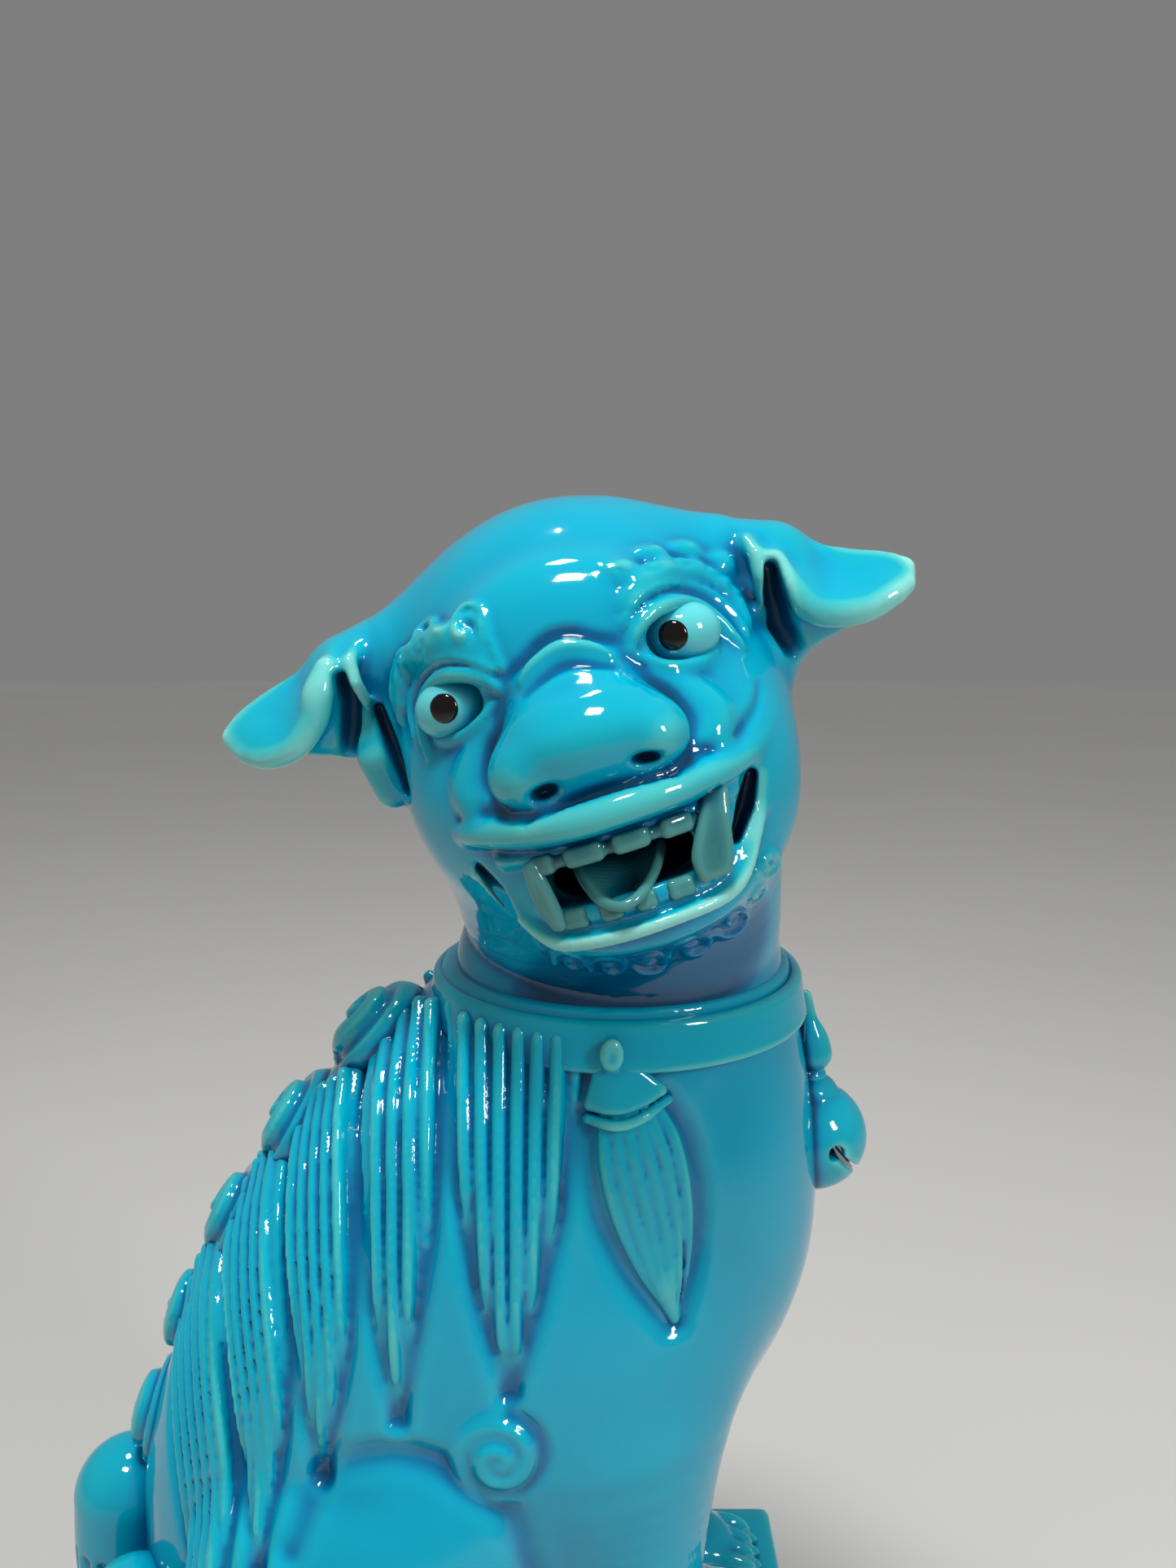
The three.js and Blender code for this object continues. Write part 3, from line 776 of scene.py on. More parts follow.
def sculpt_mouth(clay):
    s = clay.stroke
    # a wall closes the mouth behind the lips, from the upper gum to the lower
    for up in np.arange(-13, -25.1, -1.5):
        reach = np.interp(up, [-25, -20, -13], [10, 15, 19])
        points, _ = bent([(-reach, up, 1), (0, up, 1), (reach, up, 1)], -31.8, 24)
        s(points, 1.7, 1.0)
    gum, _ = bent([(-14, -14, 1), (0, -14.6, 1), (15, -14, 1)], -34.4, 24)
    s(gum, 1.3, 0.8)
    crease = [(-15, -13.0, 0.5), (-8, -14.2, 0.75), (0, -14.5, 0.8), (8, -14.4, 0.75), (15, -13.4, 0.5)]
    relief(clay, crease, 0, 0.6, carve=True)
    upper, radii = bent([(-18.6, -9.8, 1.0), (-16.4, -10, 1.8), (-11.1, -11, 2.1), (-4, -11.8, 2.1),
                         (3, -11.8, 2.1),
                         (10.5, -11.6, 2.1), (16.3, -11, 1.9), (19.6, -9.8, 1.5), (22.2, -7.4, 1.0),
                         (23.8, -5, 0.5)], -36.0, 50)
    s(upper, radii, 1.2)
    # the cheek ends over the lip in a crease
    crease = [(11.6, -8.4, 0.5), (15, -8.3, 0.6), (18.6, -7.4, 0.6), (21.4, -5.6, 0.5), (23, -3, 0.3)]
    relief(clay, crease, 0, 0.8, carve=True)
    relief(clay, [(-11.6, -8, 0.5), (-15, -7.6, 0.6), (-18.4, -7.4, 0.5)], 0, 0.8, carve=True)
    lower, radii = bent([(-21, -10.8, 0.5), (-18.6, -13.6, 0.8), (-15.8, -18.1, 1.2), (-14, -21.8, 1.3),
                         (-12, -24.4, 1.4), (-9.4, -25.9, 1.4), (-2.4, -26.3, 1.4), (4, -26.2, 1.4),
                         (10.2, -26, 1.4), (13.4, -24.5, 1.4), (15.8, -21.4, 1.35), (18, -18.1, 1.3),
                         (20.2, -14.4, 1.15), (22.4, -10, 0.9), (23.6, -6.6, 0.4)], -33.4, 60)
    s(lower, radii * 0.78, 0.7)
    crease = [(-12.4, -22, 0.5), (-9.6, -24.3, 0.7), (-2, -24.9, 0.75), (5, -24.8, 0.75), (11, -24.2, 0.7),
              (14, -21, 0.5)]
    relief(clay, crease, 0, 0.6, carve=True)
    # the chin sets back under the lip
    relief(clay, [(-12, -27.4, 0.6), (-7, -28.4, 1.0), (-1, -28.9, 1.2), (5, -28.8, 1.2), (11, -27.8, 1.0),
                  (15.6, -24, 0.6)], -0.3, 1.6, carve=True)
    # the square opening between the fangs, and a slit outside each fang
    for up in (-18.0, -19.3, -20.6):
        bore(clay, [(-8.5, up), (7.7, up)], [1.2, 1.2], -38, -24)
    bore(clay, [(13.9, -20.2), (16.3, -16.8), (18.2, -13.4)], [0.7, 1.2, 0.8], -34, -20)
    bore(clay, [(-15.2, -21.4), (-16.4, -18), (-18.2, -14.4)], [0.5, 0.9, 0.6], -34, -20)
    clay.ellipsoid((0, -14, -19), (13, 13.5, 5.2), carve=True)


def sculpt_eye(clay, side, lid, under):
    clay.ellipsoid((side * EYE_OUT, -24.6, EYE_UP), (4.4, 4.2, 3.3), soft=0.6, carve=True)
    relief(clay, lid, 0.5, 0.5)
    relief(clay, under, 0.3, 0.5)


def sculpt_brow(clay, pad, rims, curls):
    """A low plump pad with thin raised rims, and small spirals sunk into its lobes."""
    relief(clay, pad, 0.0, 0.5, sink=0.56)
    for rim in rims:
        relief(clay, with_radius(rim, 0.62), 0.25, 0.35, count=50)
    for x, z, radius, hand in curls:
        line = spiral((x, z), (1, 0), (0, 1), radius, 1.25, start=220, hand=hand, count=24)
        on = landed(clay, line)
        clay.stroke(on, 0.34, 0.3, carve=True)


def sculpt_face(clay):
    sculpt_nose(clay)
    sculpt_eye(
        clay, 1,
        [(8.6, 5.6, 0.5), (9.4, 7.2, 0.9), (11.2, 8.8, 1.1), (13.6, 9.7, 1.15), (16.2, 9.7, 1.15),
         (18.6, 8.4, 1.15),
         (20.3, 6.2, 1.05), (21.4, 4.1, 0.9), (22.6, 2.0, 0.4)],
        [(9.0, 4.9, 0.4), (11.3, 3.0, 0.8), (13.7, 2.0, 0.9), (16.3, 1.8, 0.85), (19, 2.8, 0.4)])
    sculpt_eye(
        clay, -1,
        [(-8.2, 6.0, 0.5), (-9.8, 8.0, 1.0), (-12.4, 9.4, 1.15), (-15.2, 9.9, 1.15), (-17.8, 8.9, 1.15),
         (-19.7, 6.6, 1.05), (-20.4, 3.8, 0.9), (-20.6, 1.0, 0.4)],
        [(-9.4, 4.6, 0.4), (-11.6, 3.1, 0.8), (-14, 2.2, 0.85), (-16.6, 2.1, 0.8), (-18.8, 3.0, 0.4)])
    for x, z, radius in ((9.9, 16.0, 1.9), (14.2, 17.2, 2.0), (18.6, 16.9, 2.0), (22.4, 14.3, 2.0),
                         (24.6, 10.8, 1.8),
                         (25.4, 7.2, 1.4)):
        relief(clay, [(x - 0.6, z - 0.9, radius), (x + 0.6, z - 0.9, radius)], 0, 1.0, count=4, sink=0.68)
    sculpt_brow(
        clay, [(9.4, 11.2, 1.4), (11.6, 13.0, 2.0), (15.4, 13.9, 2.3), (19.4, 12.8, 2.2), (22.6, 9.6, 1.9),
               (23.8, 5.4, 1.2)],
        [[(8.5, 9.0), (11, 11.3), (14, 12.3), (16.8, 12.1), (20, 10.5), (22.4, 7.6), (23.6, 3.9)]],
        [(9.9, 15.0, 1.5, 1), (14.3, 16.1, 1.6, 1), (18.6, 15.8, 1.6, 1), (22.3, 13.3, 1.5, 1),
         (24.5, 10.0, 1.3, 1)])
    sculpt_brow(
        clay, [(-22, 9, 1.8), (-20, 12.2, 2.6), (-16.5, 13.7, 3), (-12, 13.4, 2.9), (-9.4, 11.4, 2.1),
               (-8.2, 8.8, 1.0)],
        [[(-21.8, 4.2), (-21.2, 8.2), (-18.6, 11), (-15, 12.1), (-11.6, 11.2), (-8.2, 8.6)],
         [(-23.4, 6.8), (-23.3, 11.2), (-20.9, 15.2), (-18.2, 15.3), (-17, 17.3), (-14.9, 17.6), (-14, 15.6),
          (-12.2, 15.4), (-9.8, 17.4), (-7.7, 16.3), (-7.6, 13.2), (-7.4, 10.2), (-7, 8.4)],
         [(-8.6, 12.4), (-8.2, 14.4), (-9.6, 15.9), (-11.3, 15.1), (-11, 13.7), (-10, 13.9)]],
        [(-17, 14.8, 1.3, -1), (-20.6, 12.6, 1.2, -1)])


def neck(clay):
    rows = [(COLLAR_X, 0, 171, 26.8), (30.4, -1, 180, 24.6), (30.4, -3, 188, 24.4), (29, -5, 196, 25.2),
            (27.5, -6, 203, 25)]
    line = smooth_path(rows, 14)
    clay.stroke(line[:, :3], line[:, 3])


def beard(clay):
    """Spirals in low relief under the jaw."""
    for x, z, radius, hand in ((-11.4, -30.6, 2.6, 1), (-6.6, -32.8, 2.8, 1), (-1.2, -33.8, 2.6, -1),
                               (4.6, -33.8, 3.4, 1),
                               (10.8, -32.4, 3.0, -1), (14.8, -29.2, 2.6, -1), (17.4, -25.4, 2.2, -1)):
        curl = spiral((x, z), (1, 0), (0, 1), radius, 1.5, start=0, hand=hand, count=40)
        on = laid(clay, curl)
        clay.stroke(on - (0, 0.3, 0), 0.55, 0.25)


def head():
    low, high = (-28, -56, 171), (76, 31, 253)
    skull = Clay(low, high, HEAD_VOXEL, HEAD)
    sculpt_skull(skull)
    throat = Clay(low, high, HEAD_VOXEL)
    neck(throat)
    clay = skull
    clay.field = smooth_min(skull.field, throat.field, 7.0)
    sculpt_ears(clay)
    sculpt_mouth(clay)
    sculpt_face(clay)
    beard(clay)
    sculpted["head"] = clay
    # painted shade: the pools darken the inside of the mouth (shade under the lip, with some pooled glaze)
    # and the throat under the chin (shade)
    piece("head", ["neck", "face_shell", "skull_shell", "jaw", "nose", "upper_lip", "lower_lip", "brow_right",
                   "brow_left", "ear_right", "ear_left"] + [f"beard_curl_{i}" for i in range(1, 6)], clay,
                   TURQUOISE,
          gain=1.4, painted_shade_pools=[((1, -34, -19.4), (15.5, 7, 7), 0.25), ((0, -16, -37), (28, 26, 11), 0.3)])


def eyes():
    for name, side, look in (("right", -1, (-15.85, 6.05)), ("left", 1, (14.1, 5.95))):
        centre = HEAD.at((side * EYE_OUT, -21, EYE_UP))
        clay = Clay(centre - 7, centre + 7, TOOTH_VOXEL, HEAD)
        clay.ellipsoid((side * EYE_OUT, -20.7, EYE_UP), (5.4, 4.6, 4.2))
        piece(f"eyeball_{name}", [f"eyeball_{name}"], clay, EYE, relax=3)
        spot = Clay(centre - 7, centre + 7, PUPIL_VOXEL, HEAD)
        spot.ellipsoid((look[0], -24.75, look[1]), (1.95, 0.75, 1.95), (0, 0, -11))
        piece(f"pupil_{name}", [], spot, PUPIL, relax=3)


def teeth():
    """Blocky front teeth in low relief above and below, and a flat column of a fang at either end."""
    box = (HEAD.at((0, -28, -20)) - 26, HEAD.at((0, -28, -20)) + 26)

    def row(name, spans, top, bottom, front):
        clay = Clay(*box, TOOTH_VOXEL, HEAD)
        gum, _ = bent([(-9.6, (top + bottom) / 2, 1), (0, (top + bottom) / 2, 1),
                       (9.6, (top + bottom) / 2, 1)], front + 1.6, 20)
        clay.stroke(gum, 0.9)
        for x0, x1 in spans:
            for z in (top - 0.7, bottom + 0.7):
                block, _ = bent([(x0 + 0.7, z, 1), ((x0 + x1) / 2, z, 1), (x1 - 0.7, z, 1)], front + 0.8, 6)
                clay.stroke(block, 0.85, 0.3)
        piece(name, [name], clay, SHADED_MOUTH_GLAZE, base="head")

    row("upper_teeth", ((-10.6, -7.6), (-6.2, -1.5), (-0.3, 4.1), (5.5, 9.4)), -14.6, -16.9, -36.3)
    row("lower_teeth", ((-9.0, -5.7), (-4.2, -1.5), (0.1, 2.7), (4.1, 7.4)), -22.0, -24.4, -34.1)
    for name, rows in (
        ("right", [(-10.6, -32.4, -15.6, 0.9), (-10.4, -32.2, -18, 1.2), (-10.1, -31.4, -21, 1.25),
                   (-9.6, -31, -23.4, 0.95)]),
        ("left", [(12.9, -31.0, -13.9, 1.6), (11.9, -31.9, -16.6, 1.9), (10.6, -32.0, -20.2, 2.5),
                  (10.2, -31.6, -22.8, 2.1)]),
    ):
        fang = Clay(*box, TOOTH_VOXEL, HEAD)
        line = smooth_path(rows, 16)
        for shift in (-1, -0.5, 0, 0.5, 1):
            across = np.outer((line[:, 3] - 0.6) * shift, (1, 0.35 * math.copysign(1, line[0, 0]), 0))
            fang.stroke(line[:, :3] + across, 0.75, 0.2)
        piece(f"fang_{name}", [f"fang_{name}"], fang, SHADED_MOUTH_GLAZE, base="head")


def tongue():
    """A spoon that runs down over the lower teeth, dished on top, with a thin rolled rim."""
    centre = HEAD.at((0, -27, -20))
    clay = Clay(centre - 12, centre + 12, TOOTH_VOXEL, HEAD)
    rim = smooth_path([
        (-5.9, -23, -16.0), (-5.8, -27, -17.6), (-5.0, -30.4, -19.8), (-3.6, -33.4, -21.9),
        (-1.1, -35.2, -22.9),
        (1.6, -33.6, -22.0), (3.6, -30.8, -20.2), (4.8, -27, -18.4), (5.1, -23, -16.8),
    ], 41)
    clay.stroke(rim, 0.7)
    for i in range(20):
        left, right = rim[i], rim[40 - i]
        sag = np.array((0, 0.9, -1.5)) * min(1, np.linalg.norm(right - left) / 8)
        clay.stroke(smooth_path([left, (left + right) / 2 + sag, right], 9), 0.6)
    piece("tongue", ["tongue"], clay, SHADED_MOUTH_GLAZE, base="head")


# ---------------------------------------------------------------- body
# Each lock of the mane: its left edge, then its right edge, as (x, z) from the root to the tip.
LOCKS = [
    [[(3, 174), (6.5, 155), (10, 139), (14.3, 126)], [(25, 174), (21.6, 153), (18.2, 139), (14.3, 126)]],
    [[(-10, 167), (-8.4, 151), (-5.6, 137), (-1.5, 121)], [(2.6, 174), (3.6, 154), (1.6, 138), (-1.5, 121)]],
    [[(-23, 152), (-21, 142), (-17, 126), (-12.8, 111)],
     [(-10, 164), (-8.6, 148), (-8.8, 131), (-12.8, 111)]],
    [[(-35, 137), (-32, 128), (-27, 113), (-21.8, 99)],
     [(-23, 152), (-20.4, 140), (-18.2, 122), (-21.8, 99)]],
    [[(-43, 122), (-40, 108), (-36, 95), (-30, 78)], [(-34, 137), (-29, 124), (-26.6, 106), (-30, 78)]],
]
RIDGE_PITCH = 2.7
# The tassel's brush on the flank, as (x, z) down its left edge and down its right edge.
TASSEL_LEFT = [(25.4, 164.4), (25.0, 157.0), (26.8, 149.4), (30.8, 141.6), (36.4, 134.2)]
TASSEL_RIGHT = [(35.8, 165.4), (39.2, 160.0), (40.8, 152.0), (40.4, 143.0), (38.0, 134.4)]


def lock(clay, left, right):
    """A tress that ends in a point: ridges that run side by side and close up towards the tip, in a
    groove."""
    a, b = smooth_path(left, 40), smooth_path(right, 40)
    half = np.linalg.norm(b - a, axis=1) / 2
    across = (b - a) / np.maximum(2 * half, 0.01)[:, None]
    across[-3:] = across[-4]
    for edge in (a, b):
        on = laid(clay, edge)
        on = on[on[:, 1] < -1]
        clay.stroke(on - (0, 0.5, 0), 1.3, 1.6, carve=True)
    count = max(3, round(2 * half[0] / RIDGE_PITCH))
    pitch = 2 * half[0] / count * np.linspace(1, 0.62, 40)
    for i in range(count):
        away = (i - (count - 1) / 2) * pitch
        room = half - np.abs(away)
        on = laid(clay, (a + b) / 2 + across * away[:, None])
        good = (room > 0.25) & (on[:, 1] < -1)
        if good.sum() > 2:
            radii = 0.42 * pitch * np.clip(room / 1.4, 0.25, 1)
            clay.stroke((on - np.outer(radii, (0, 0.3, 0)))[good], radii[good], 0.35)


def haunch_forms(clay):
    clay.ellipsoid((-9, -26.5, 83), (27, 15, 30), (0, 8, 0), soft=1.2)
    clay.ellipsoid((2, -31, 97), (15, 10, 15), soft=6)
    crease = [(-17, 103), (-13.5, 111), (-8, 115), (0, 116.4), (8, 113.4), (15, 107), (18, 97)]
    on = laid(clay, smooth_path(crease, 50))
    clay.stroke(on - (0, 0.9, 0), 1.6, 2.4, carve=True)


def body():
    clay = Clay((-58, -46, 49), (68, 4, 184), BODY_VOXEL)
    clay.loft(TORSO)
    clay.ellipsoid((40, 0, 140), (20, 25, 34), soft=8)  # chest
    clay.ellipsoid((24, -20, 118), (22, 15, 28), (0, 20, 0), soft=8)  # shoulder
    haunch_forms(clay)
    for left, right in LOCKS:
        lock(clay, left, right)
    # the upper foreleg, which both sides share
    leg = smooth_path([(29, -20, 112, 15), (31, -21, 99, 12.6), (32, -22, 89, 10.6), (33, -22, 82, 9.2)], 14)
    clay.stroke(leg[:, :3], leg[:, 3], 5)
    # the curl at the elbow, a sunk spiral
    boss = landed(clay, [(12.7, 116.6)])[0]
    clay.ellipsoid(boss + (0, 1.2, 0), (6.6, 2.8, 6.6), soft=1.5)
    curl = spiral((12.7, 116.6), (1, 0), (0, 1), 6.9, 2.0, start=75, hand=1, count=90)
    on = landed(clay, curl)
    clay.stroke(on - (0, 0.3, 0), np.linspace(0.8, 1.25, 90), 1.0, carve=True)
    # the dip that the tassel lies in
    for edge in (TASSEL_LEFT, TASSEL_RIGHT):
        dip = laid(clay, smooth_path(edge, 30))
        clay.stroke(dip - (0, 0.6, 0), 1.3, 1.8, carve=True)
    sculpted["body"] = clay
    piece("body_right", ["body_shell_right", "haunch_right", "foreleg_right", "elbow_curl_right"], clay,
          TURQUOISE,
          mirror=("body_left", ["body_shell_left", "haunch_left", "foreleg_left", "elbow_curl_left"]),
          cut_middle=True, reach=BODY_VOXEL, gain=1.7)


# Each curl down the back: x, z and its tilt in degrees.
SPINE_CURLS = [(-8.4, 165.4, 42), (-21, 149.7, 55), (-31.2, 133.7, 60), (-39.1, 116.8, 69), (-45.6, 98.6, 73)]


def spine_curls():
    """Five domed bosses down the back, each with a spiral groove."""
    for i, (x, z, tilt) in enumerate(SPINE_CURLS, 1):
        lean = math.radians(tilt)
        outward = np.array((-math.sin(lean), 0, math.cos(lean)))
        along = np.array((math.cos(lean), 0, math.sin(lean)))
        centre = np.array((x, 0, z)) - 0.8 * outward
        clay = Clay(centre - 13, centre + 13, TRIM_VOXEL)
        clay.ellipsoid(centre, (CURL_RADIUS, CURL_RADIUS, CURL_HEIGHT), (0, -tilt, 0))
        groove = spiral((0, 0), (1, 0), (0, 1), 8.6, 1.7, start=90, hand=-1, count=90)
        height = CURL_HEIGHT * np.sqrt(np.clip(1 - (groove**2).sum(1) / CURL_RADIUS**2, 0, 1))
        across = np.array((0, 1.0, 0))
        points = centre + groove[:, :1] * along + groove[:, 1:] * across + height[:, None] * outward
        clay.stroke(points, np.linspace(0.9, 1.3, 90), 0.8, carve=True)
        piece(f"spine_curl_{i}", [f"spine_curl_{i}"], clay, TURQUOISE, base="body", gain=1.4)


def tail():
    """Three brushes behind the rump: a smooth crown, then ribs that run down to the plinth."""
    def brush(clay, rows, ribs):
        line = smooth_path(rows, 20)
        clay.stroke(line[:, :3], line[:, 3])
        for i in range(ribs):
            angle = 2 * math.pi * (i + 0.5) / ribs
            ribbed = line[:15]
            radius = ribbed[:, 3]
            points = ribbed[:, :3] + np.stack([np.cos(angle) * radius, np.sin(angle) * radius, 0 * radius], 1)
            clay.stroke(points, 0.95, 0.4, carve=True)

    clay = Clay((-74, -14, 49), (-38, 14, 98), LIMB_VOXEL)
    brush(clay, [(-50, 0, 50, 8.6), (-52.6, 0, 62, 9.4), (-53.6, 0, 73, 9.2), (-53.6, 0, 83, 8.9)], 16)
    piece("tail_lobe_middle", ["tail_lobe_middle"], clay, TURQUOISE)
    clay = Clay((-72, -36, 49), (-32, 0, 92), LIMB_VOXEL)
    brush(clay, [(-45, -16, 50, 7.6), (-46.6, -18.5, 60, 8.6), (-47.5, -19.5, 69, 8.3),
                 (-46.2, -19, 78, 7.2)], 14)
    piece("tail_lobe_right", ["tail_lobe_right"], clay, TURQUOISE,
          mirror=("tail_lobe_left", ["tail_lobe_left"]))


def paws():
    toes, wide = 4, 13

    def paw(clay, x, y, z, reach=11, high=7.5):
        clay.ellipsoid((x - 4, y, z + 1), (reach, wide / 2 + 1.5, high))
        for i in range(toes):
            across = (i - (toes - 1) / 2) * wide / toes
            clay.ellipsoid((x + 4, y + across, z - 1.2), (7, wide / toes / 1.7, high * 0.75), soft=0.8)
            clay.ellipsoid((x + 10, y + across, z - 3.4), (2.6, 1.3, 2), soft=0.4)

    clay = Clay((-20, -50, 49), (40, -18, 72), LIMB_VOXEL)
    line = smooth_path([(-8, -29, 58, 8.5), (6, -29, 57.5, 8), (14, -29, 57, 7.4)], 8)
    clay.stroke(line[:, :3], line[:, 3])
    paw(clay, 17, -28.5, 57.6)
    piece("hind_paw_right", ["hind_paw_right"], clay, TURQUOISE, mirror=("hind_paw_left", ["hind_paw_left"]))

    clay = Clay((24, 6, 49), (72, 36, 110), 0.55)
    leg = smooth_path([(33, 22, 90, 10.2), (34, 22, 80, 9.4), (36, 21, 68, 8.6), (39, 21, 58, 7.8)], 14)
    clay.stroke(leg[:, :3], leg[:, 3])
    paw(clay, 46, 21, 53.6, high=5.6)
    piece("forepaw_left", ["forepaw_left"], clay, TURQUOISE)

    clay = Clay((26, -38, 60), (72, -8, 92), LIMB_VOXEL)
    leg = smooth_path([(33, -22, 86, 9.6), (36, -22, 80, 8.8), (43, -22, 76.5, 8)], 8)
    clay.stroke(leg[:, :3], leg[:, 3])
    paw(clay, 48.6, -22, 76, reach=10)
    piece("forepaw_right", ["forepaw_right"], clay, TURQUOISE)


def ball():
    """A brocade ball: a sphere with a raised lattice."""
    low, high = (np.array(corner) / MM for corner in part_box("brocade_ball"))
    centre = (low + high) / 2
    radius = (high[2] - low[2]) / 2
    clay = Clay(low - 3, high + 3, TRIM_VOXEL)
    clay.ellipsoid(centre, (radius - 0.6,) * 3)
    t = np.linspace(0, 2 * math.pi, 60)
    for turn in range(4):
        for tilt in (55, -55):
            m = np.array(Euler((math.radians(tilt), 0, math.radians(turn * 45))).to_matrix())
            ring = np.stack([np.cos(t), np.sin(t), 0 * t], 1) @ m.T * (radius - 0.5) + centre
            clay.stroke(ring, 0.55, 0.5)
    piece("brocade_ball", ["brocade_ball"], clay, TURQUOISE)


# ---------------------------------------------------------------- harness
def collar():
    """A flat band that leans in a little, with a thin raised edge above and below."""
    clay = Clay((-4, -34, 166), (63, 34, 183), TRIM_VOXEL)
    t = np.linspace(0, 2 * math.pi, 120)

    def ring(radius, z):
        return np.stack([COLLAR_X + radius * np.cos(t), radius * np.sin(t), 0 * t + z], 1)

    for z in np.linspace(171.4, 175.6, 7):
        clay.stroke(ring(28.8 - 0.16 * (z - 171), z), 1.1)
    clay.stroke(ring(29.3, 170.4), 0.8, 0.4)
    clay.stroke(ring(28.0, 176.1), 0.7, 0.4)
    piece("collar", ["collar"], clay, TURQUOISE, base="body")


def bell():
    x, z = 61.3, 147.5
    clay = Clay((50, -12, 134), (74, 12, 172), HARNESS_VOXEL)
    clay.ellipsoid((x, 0, z), (9.0, 8.6, 8.8))
    clay.ellipsoid((x - 0.5, 0, 155.6), (4.4, 4.6, 2.2), soft=1.0)
    clay.stroke([(64.6, 0, 148), (66.8, 0, 143.4), (66.4, 0, 139)], [0.9, 0.85, 0.9], carve=True)
    clay.stroke([(64, -12, 147.6), (64, 12, 147.6)], 1.3, carve=True)
    for y in np.arange(-10, 10.1, 0.6):
        clay.stroke([(64, y, 147.6), (70, y, 141)], 0.6, carve=True)
    piece("bell", ["bell"], clay, TURQUOISE, base="body")
    clay = Clay((50, -8, 154), (70, 8, 176), HARNESS_VOXEL)
    line = smooth_path([(61.2, 0, 161.4, 3.2), (61, 0, 163.6, 2.7), (60.5, 0, 167, 1.4), (60, 0, 171, 0.9)],
                       14)
    clay.stroke(line[:, :3], line[:, 3])
    around = np.linspace(0, 2 * math.pi, 30)
    clay.stroke(np.stack([60.9 + 1.6 * np.cos(around), 1.6 * np.sin(around), 157.8 + 0 * around], 1), 1.1)
    piece("bell_hanger", ["bell_hanger"], clay, TURQUOISE, base="body")


def tassels():
    """On each flank: a loop over the collar, a cone cap with a ring, then a ribbed brush that ends in
    a point."""
    body_clay = sculpted["body"]

    def out(rows, lift):
        """[x, z] rows as points that stand lift mm out of the flank."""
        return laid(body_clay, smooth_path(rows, 24)) - (0, lift, 0)

    clay = Clay((16, -42, 156), (46, -20, 182), HARNESS_VOXEL)
    t = np.linspace(0, 2 * math.pi, 30)
    loop = np.stack([28.2 + 0.8 * np.cos(t), -30.6 + 0 * t, 172.9 + 1.5 * np.sin(t)], 1)
    clay.stroke(loop, 0.9)
    apex = [(26.9, 171.6), (28.3, 172.0), (29.8, 171.6)]
    foot = [(25.2, 165.4), (30.0, 165.4), (35.2, 167.2)]
    for f in np.linspace(0, 1, 14):
        rows = np.array(apex) * (1 - f) + np.array(foot) * f
        line = out(rows, 0.3)
        line[:, 1] -= 1.4 * np.sin(np.linspace(0.15, 0.85, 24) * math.pi) * math.sqrt(f)
        clay.stroke(line, 0.8, 0.3)
    ring = out([(24.9, 163.4), (30.2, 163.4), (36.0, 165.4)], 0.6)
    ring[:, 1] -= 1.3 * np.sin(np.linspace(0, 1, 24) * math.pi)
    clay.stroke(ring, 0.8, 0.15)
    piece("tassel_cap_right", ["tassel_cap_right"], clay, TURQUOISE,
          mirror=("tassel_cap_left", ["tassel_cap_left"]),
          base="body")

    clay = Clay((18, -46, 130), (50, -18, 168), TRIM_VOXEL)
    a, b = smooth_path(TASSEL_LEFT, 30), smooth_path(TASSEL_RIGHT, 30)
    wide = np.linalg.norm(b - a, axis=1) / 6
    for i in range(6):
        f = (i + 0.5) / 6
        on = laid(body_clay, a + (b - a) * (0.1 + 0.8 * f))
        bulge = 0.7 * math.sin(math.pi * f)
        radii = np.clip(wide * 0.47, 0.4, 1.3)
        clay.stroke(on - (0, bulge, 0) + np.outer(radii, (0, 0.3, 0)), radii, 0.3)
    piece("tassel_fringe_right", ["tassel_fringe_right"], clay, TURQUOISE,
          mirror=("tassel_fringe_left", ["tassel_fringe_left"]), base="body", gain=1.6)


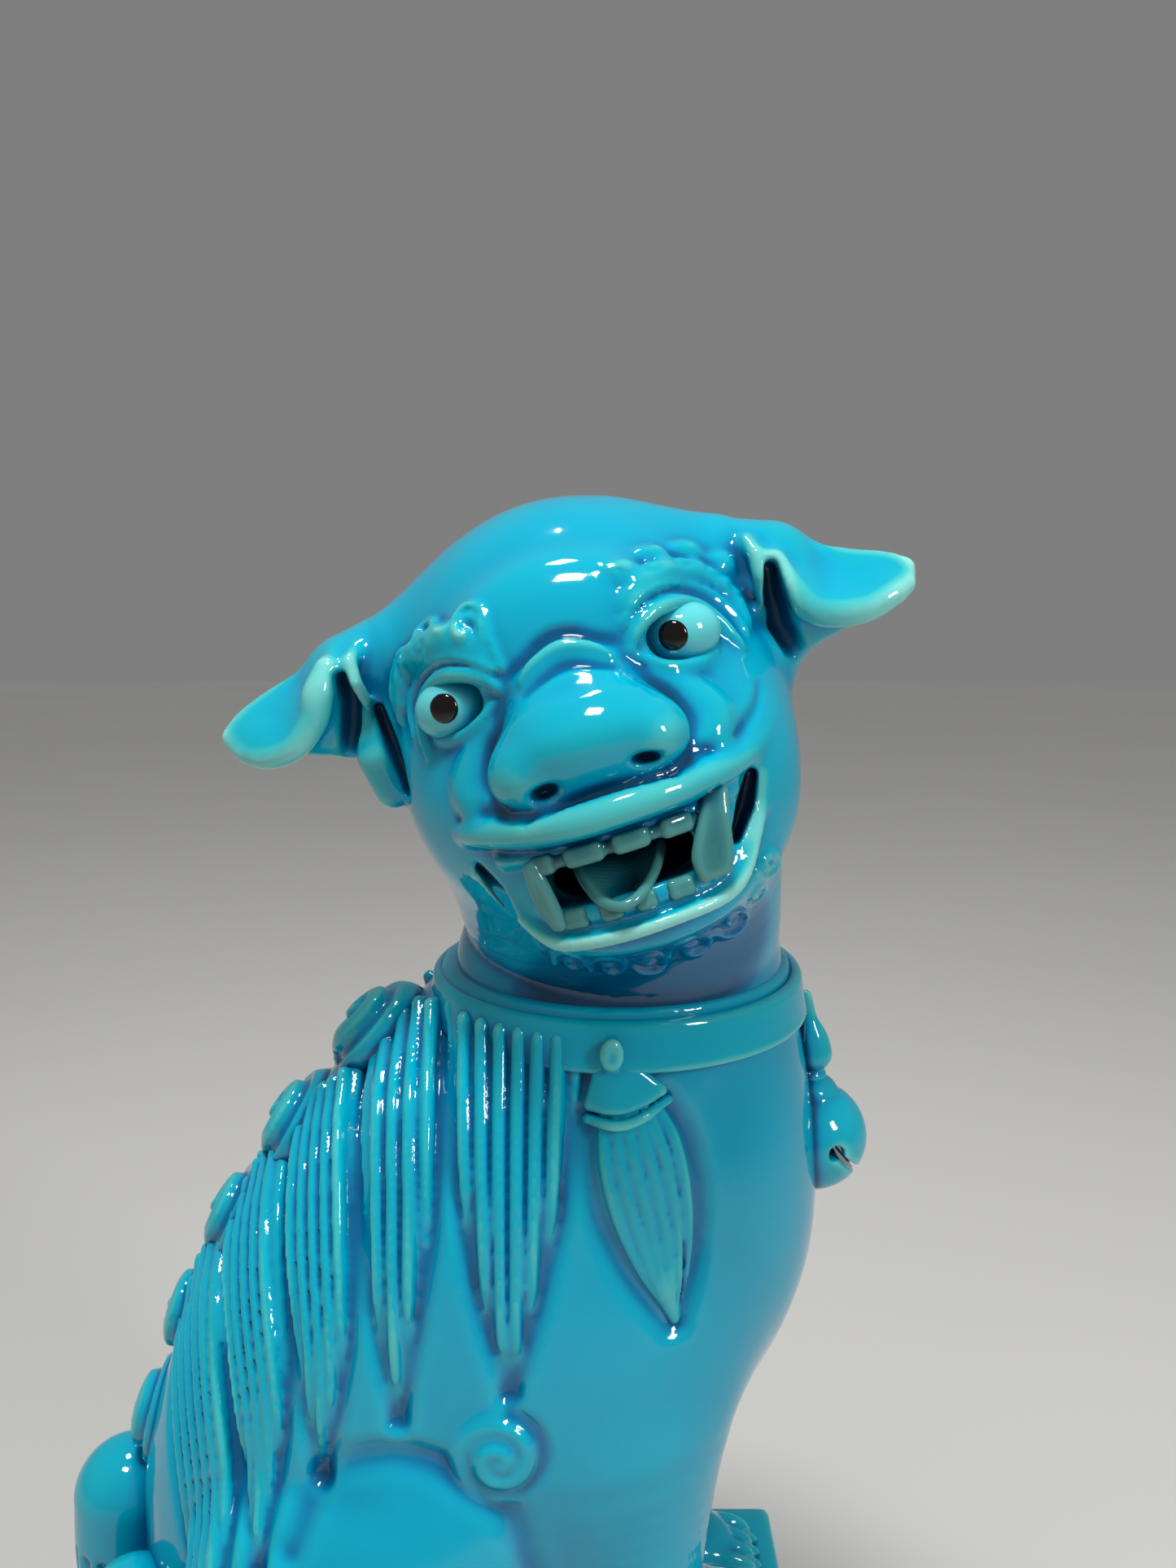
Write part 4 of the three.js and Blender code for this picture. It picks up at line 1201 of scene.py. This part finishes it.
# ---------------------------------------------------------------- plinth
def plinth():
    """Six slabs: a moulded top, four pierced sides on a stepped foot, and a bottom with the vent."""
    low, high = (np.array(corner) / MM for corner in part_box("plinth_top"))
    half_x, half_y = high[0], high[1]
    clay = Clay(low - 3, high + 3, PLINTH_VOXEL)
    clay.slab(low, (half_x, half_y, 50), 1.6)
    clay.stroke([(VENT_X, 0, 38), (VENT_X, 0, 53)], VENT_RADIUS, carve=True)
    piece("plinth_top", ["plinth_top"], clay, TURQUOISE)

    def side(low, high, axis, slots, half_slot):
        clay = Clay(np.array(low) - 4.5, np.array(high) + 4.5, PLINTH_VOXEL)
        clay.slab(low, high, 1.0)
        for at in slots:
            a, b = np.array(low, float), np.array(high, float)
            a[axis], b[axis] = at - half_slot, at + half_slot
            a[1 - axis] -= 3
            b[1 - axis] += 3
            a[2], b[2] = 19, 35
            clay.slab(a, b, 2.2, carve=True)
        return clay

    waist_x, waist_y = half_x - 4, half_y - 4
    clay = side((-waist_x, -waist_y, 1), (waist_x, -half_y + 8.5, 41.7), 0, (-44, -22, 0, 22, 44), 6)
    clay.slab((-half_x, -half_y, 0.2), (half_x, -half_y + 8.5, 12), 1.4, 0.5)
    for z in (39.2, 14.2):
        clay.stroke([(-waist_x, -waist_y - 0.2, z), (waist_x, -waist_y - 0.2, z)], 1.6, 0.6)
    piece("plinth_side_right", ["plinth_side_right"], clay, TURQUOISE,
          mirror=("plinth_side_left", ["plinth_side_left"]))

    end_y = half_y - 8.8
    clay = side((half_x - 8.5, -end_y, 1), (waist_x, end_y, 41.7), 1, (-16.5, 0, 16.5), 6)
    clay.slab((half_x - 8.5, -end_y, 0.2), (half_x, end_y, 12), 1.4, 0.5)
    for z in (39.2, 14.2):
        clay.stroke([(waist_x + 0.2, -end_y, z), (waist_x + 0.2, end_y, z)], 1.6, 0.6)
    piece("plinth_end_front", ["plinth_end_front"], clay, TURQUOISE)
    clay.field = clay.field[::-1]
    clay.low[0] = -(clay.low[0] + clay.voxel * (clay.field.shape[0] - 1))
    clay.axes[0] = (clay.low[0] + clay.voxel * np.arange(clay.field.shape[0])).astype(np.float32)
    piece("plinth_end_back", ["plinth_end_back"], clay, TURQUOISE)

    inner_x = half_x - 8.8
    clay = Clay((-inner_x - 3, -end_y - 3, -2), (inner_x + 3, end_y + 3, 8), PLINTH_VOXEL)
    clay.slab((-inner_x, -end_y, 0.2), (inner_x, end_y, 4.5), 0.8)
    clay.stroke([(VENT_X, 0, -3), (VENT_X, 0, 8)], VENT_RADIUS, carve=True)
    piece("plinth_bottom", ["plinth_bottom"], clay, TURQUOISE)


# ---------------------------------------------------------------- camera, floor and light
def camera():
    data = bpy.data.cameras.new("camera")
    data.sensor_width = 36
    data.lens = 28.0228
    data.clip_start = 0.01
    obj = bpy.data.objects.new("camera", data)
    obj.location = np.array((25, -188, 235)) * MM
    obj.rotation_euler = (math.radians(90 - 9), 0, 0)
    bpy.context.scene.collection.objects.link(obj)
    bpy.context.scene.camera = obj


def area(name, place, look_at, size, power):
    data = bpy.data.lights.new(name, "AREA")
    data.shape = "RECTANGLE"
    data.size, data.size_y = size
    data.energy = power
    obj = bpy.data.objects.new(name, data)
    obj.location = place
    obj.rotation_euler = (Vector(look_at) - Vector(place)).to_track_quat("-Z", "Y").to_euler()
    bpy.context.scene.collection.objects.link(obj)


def studio():
    bpy.ops.mesh.primitive_plane_add(size=6)
    floor = bpy.context.object
    floor.name = "floor"
    n = Nodes("floor")
    n.put(n.shader.inputs["Base Color"], n.mix(n.noise(3, 2), srgb(195, 194, 191), srgb(203, 202, 199)))
    n.shader.inputs["Roughness"].default_value = 0.9
    floor.data.materials.append(n.material)
    scene_world = bpy.data.worlds.new("studio")
    scene_world.use_nodes = True
    scene_world.node_tree.nodes["Background"].inputs["Color"].default_value = srgb(226, 226, 226)
    scene_world.node_tree.nodes["Background"].inputs["Strength"].default_value = 0.28
    bpy.context.scene.world = scene_world
    bpy.context.scene.view_settings.view_transform = "Standard"
    middle = (0.02, -0.01, 0.19)
    data = bpy.data.lights.new("sky", "SUN")
    data.energy = 0.6
    data.angle = math.radians(40)
    sky = bpy.data.objects.new("sky", data)
    sky.rotation_euler = (math.radians(24), math.radians(-14), 0)
    sky.visible_glossy = False
    bpy.context.scene.collection.objects.link(sky)
    area("key", (-0.05, -0.24, 0.86), middle, (0.15, 0.10), 3.8)
    area("top", (-0.10, 0.16, 0.95), middle, (0.12, 0.12), 1.6)
    area("side", (0.5, -0.42, 0.5), middle, (0.12, 0.2), 2.0)


plinth()
body()
spine_curls()
tail()
paws()
ball()
collar()
bell()
tassels()
head()
eyes()
teeth()
tongue()
shelter()
camera()
studio()
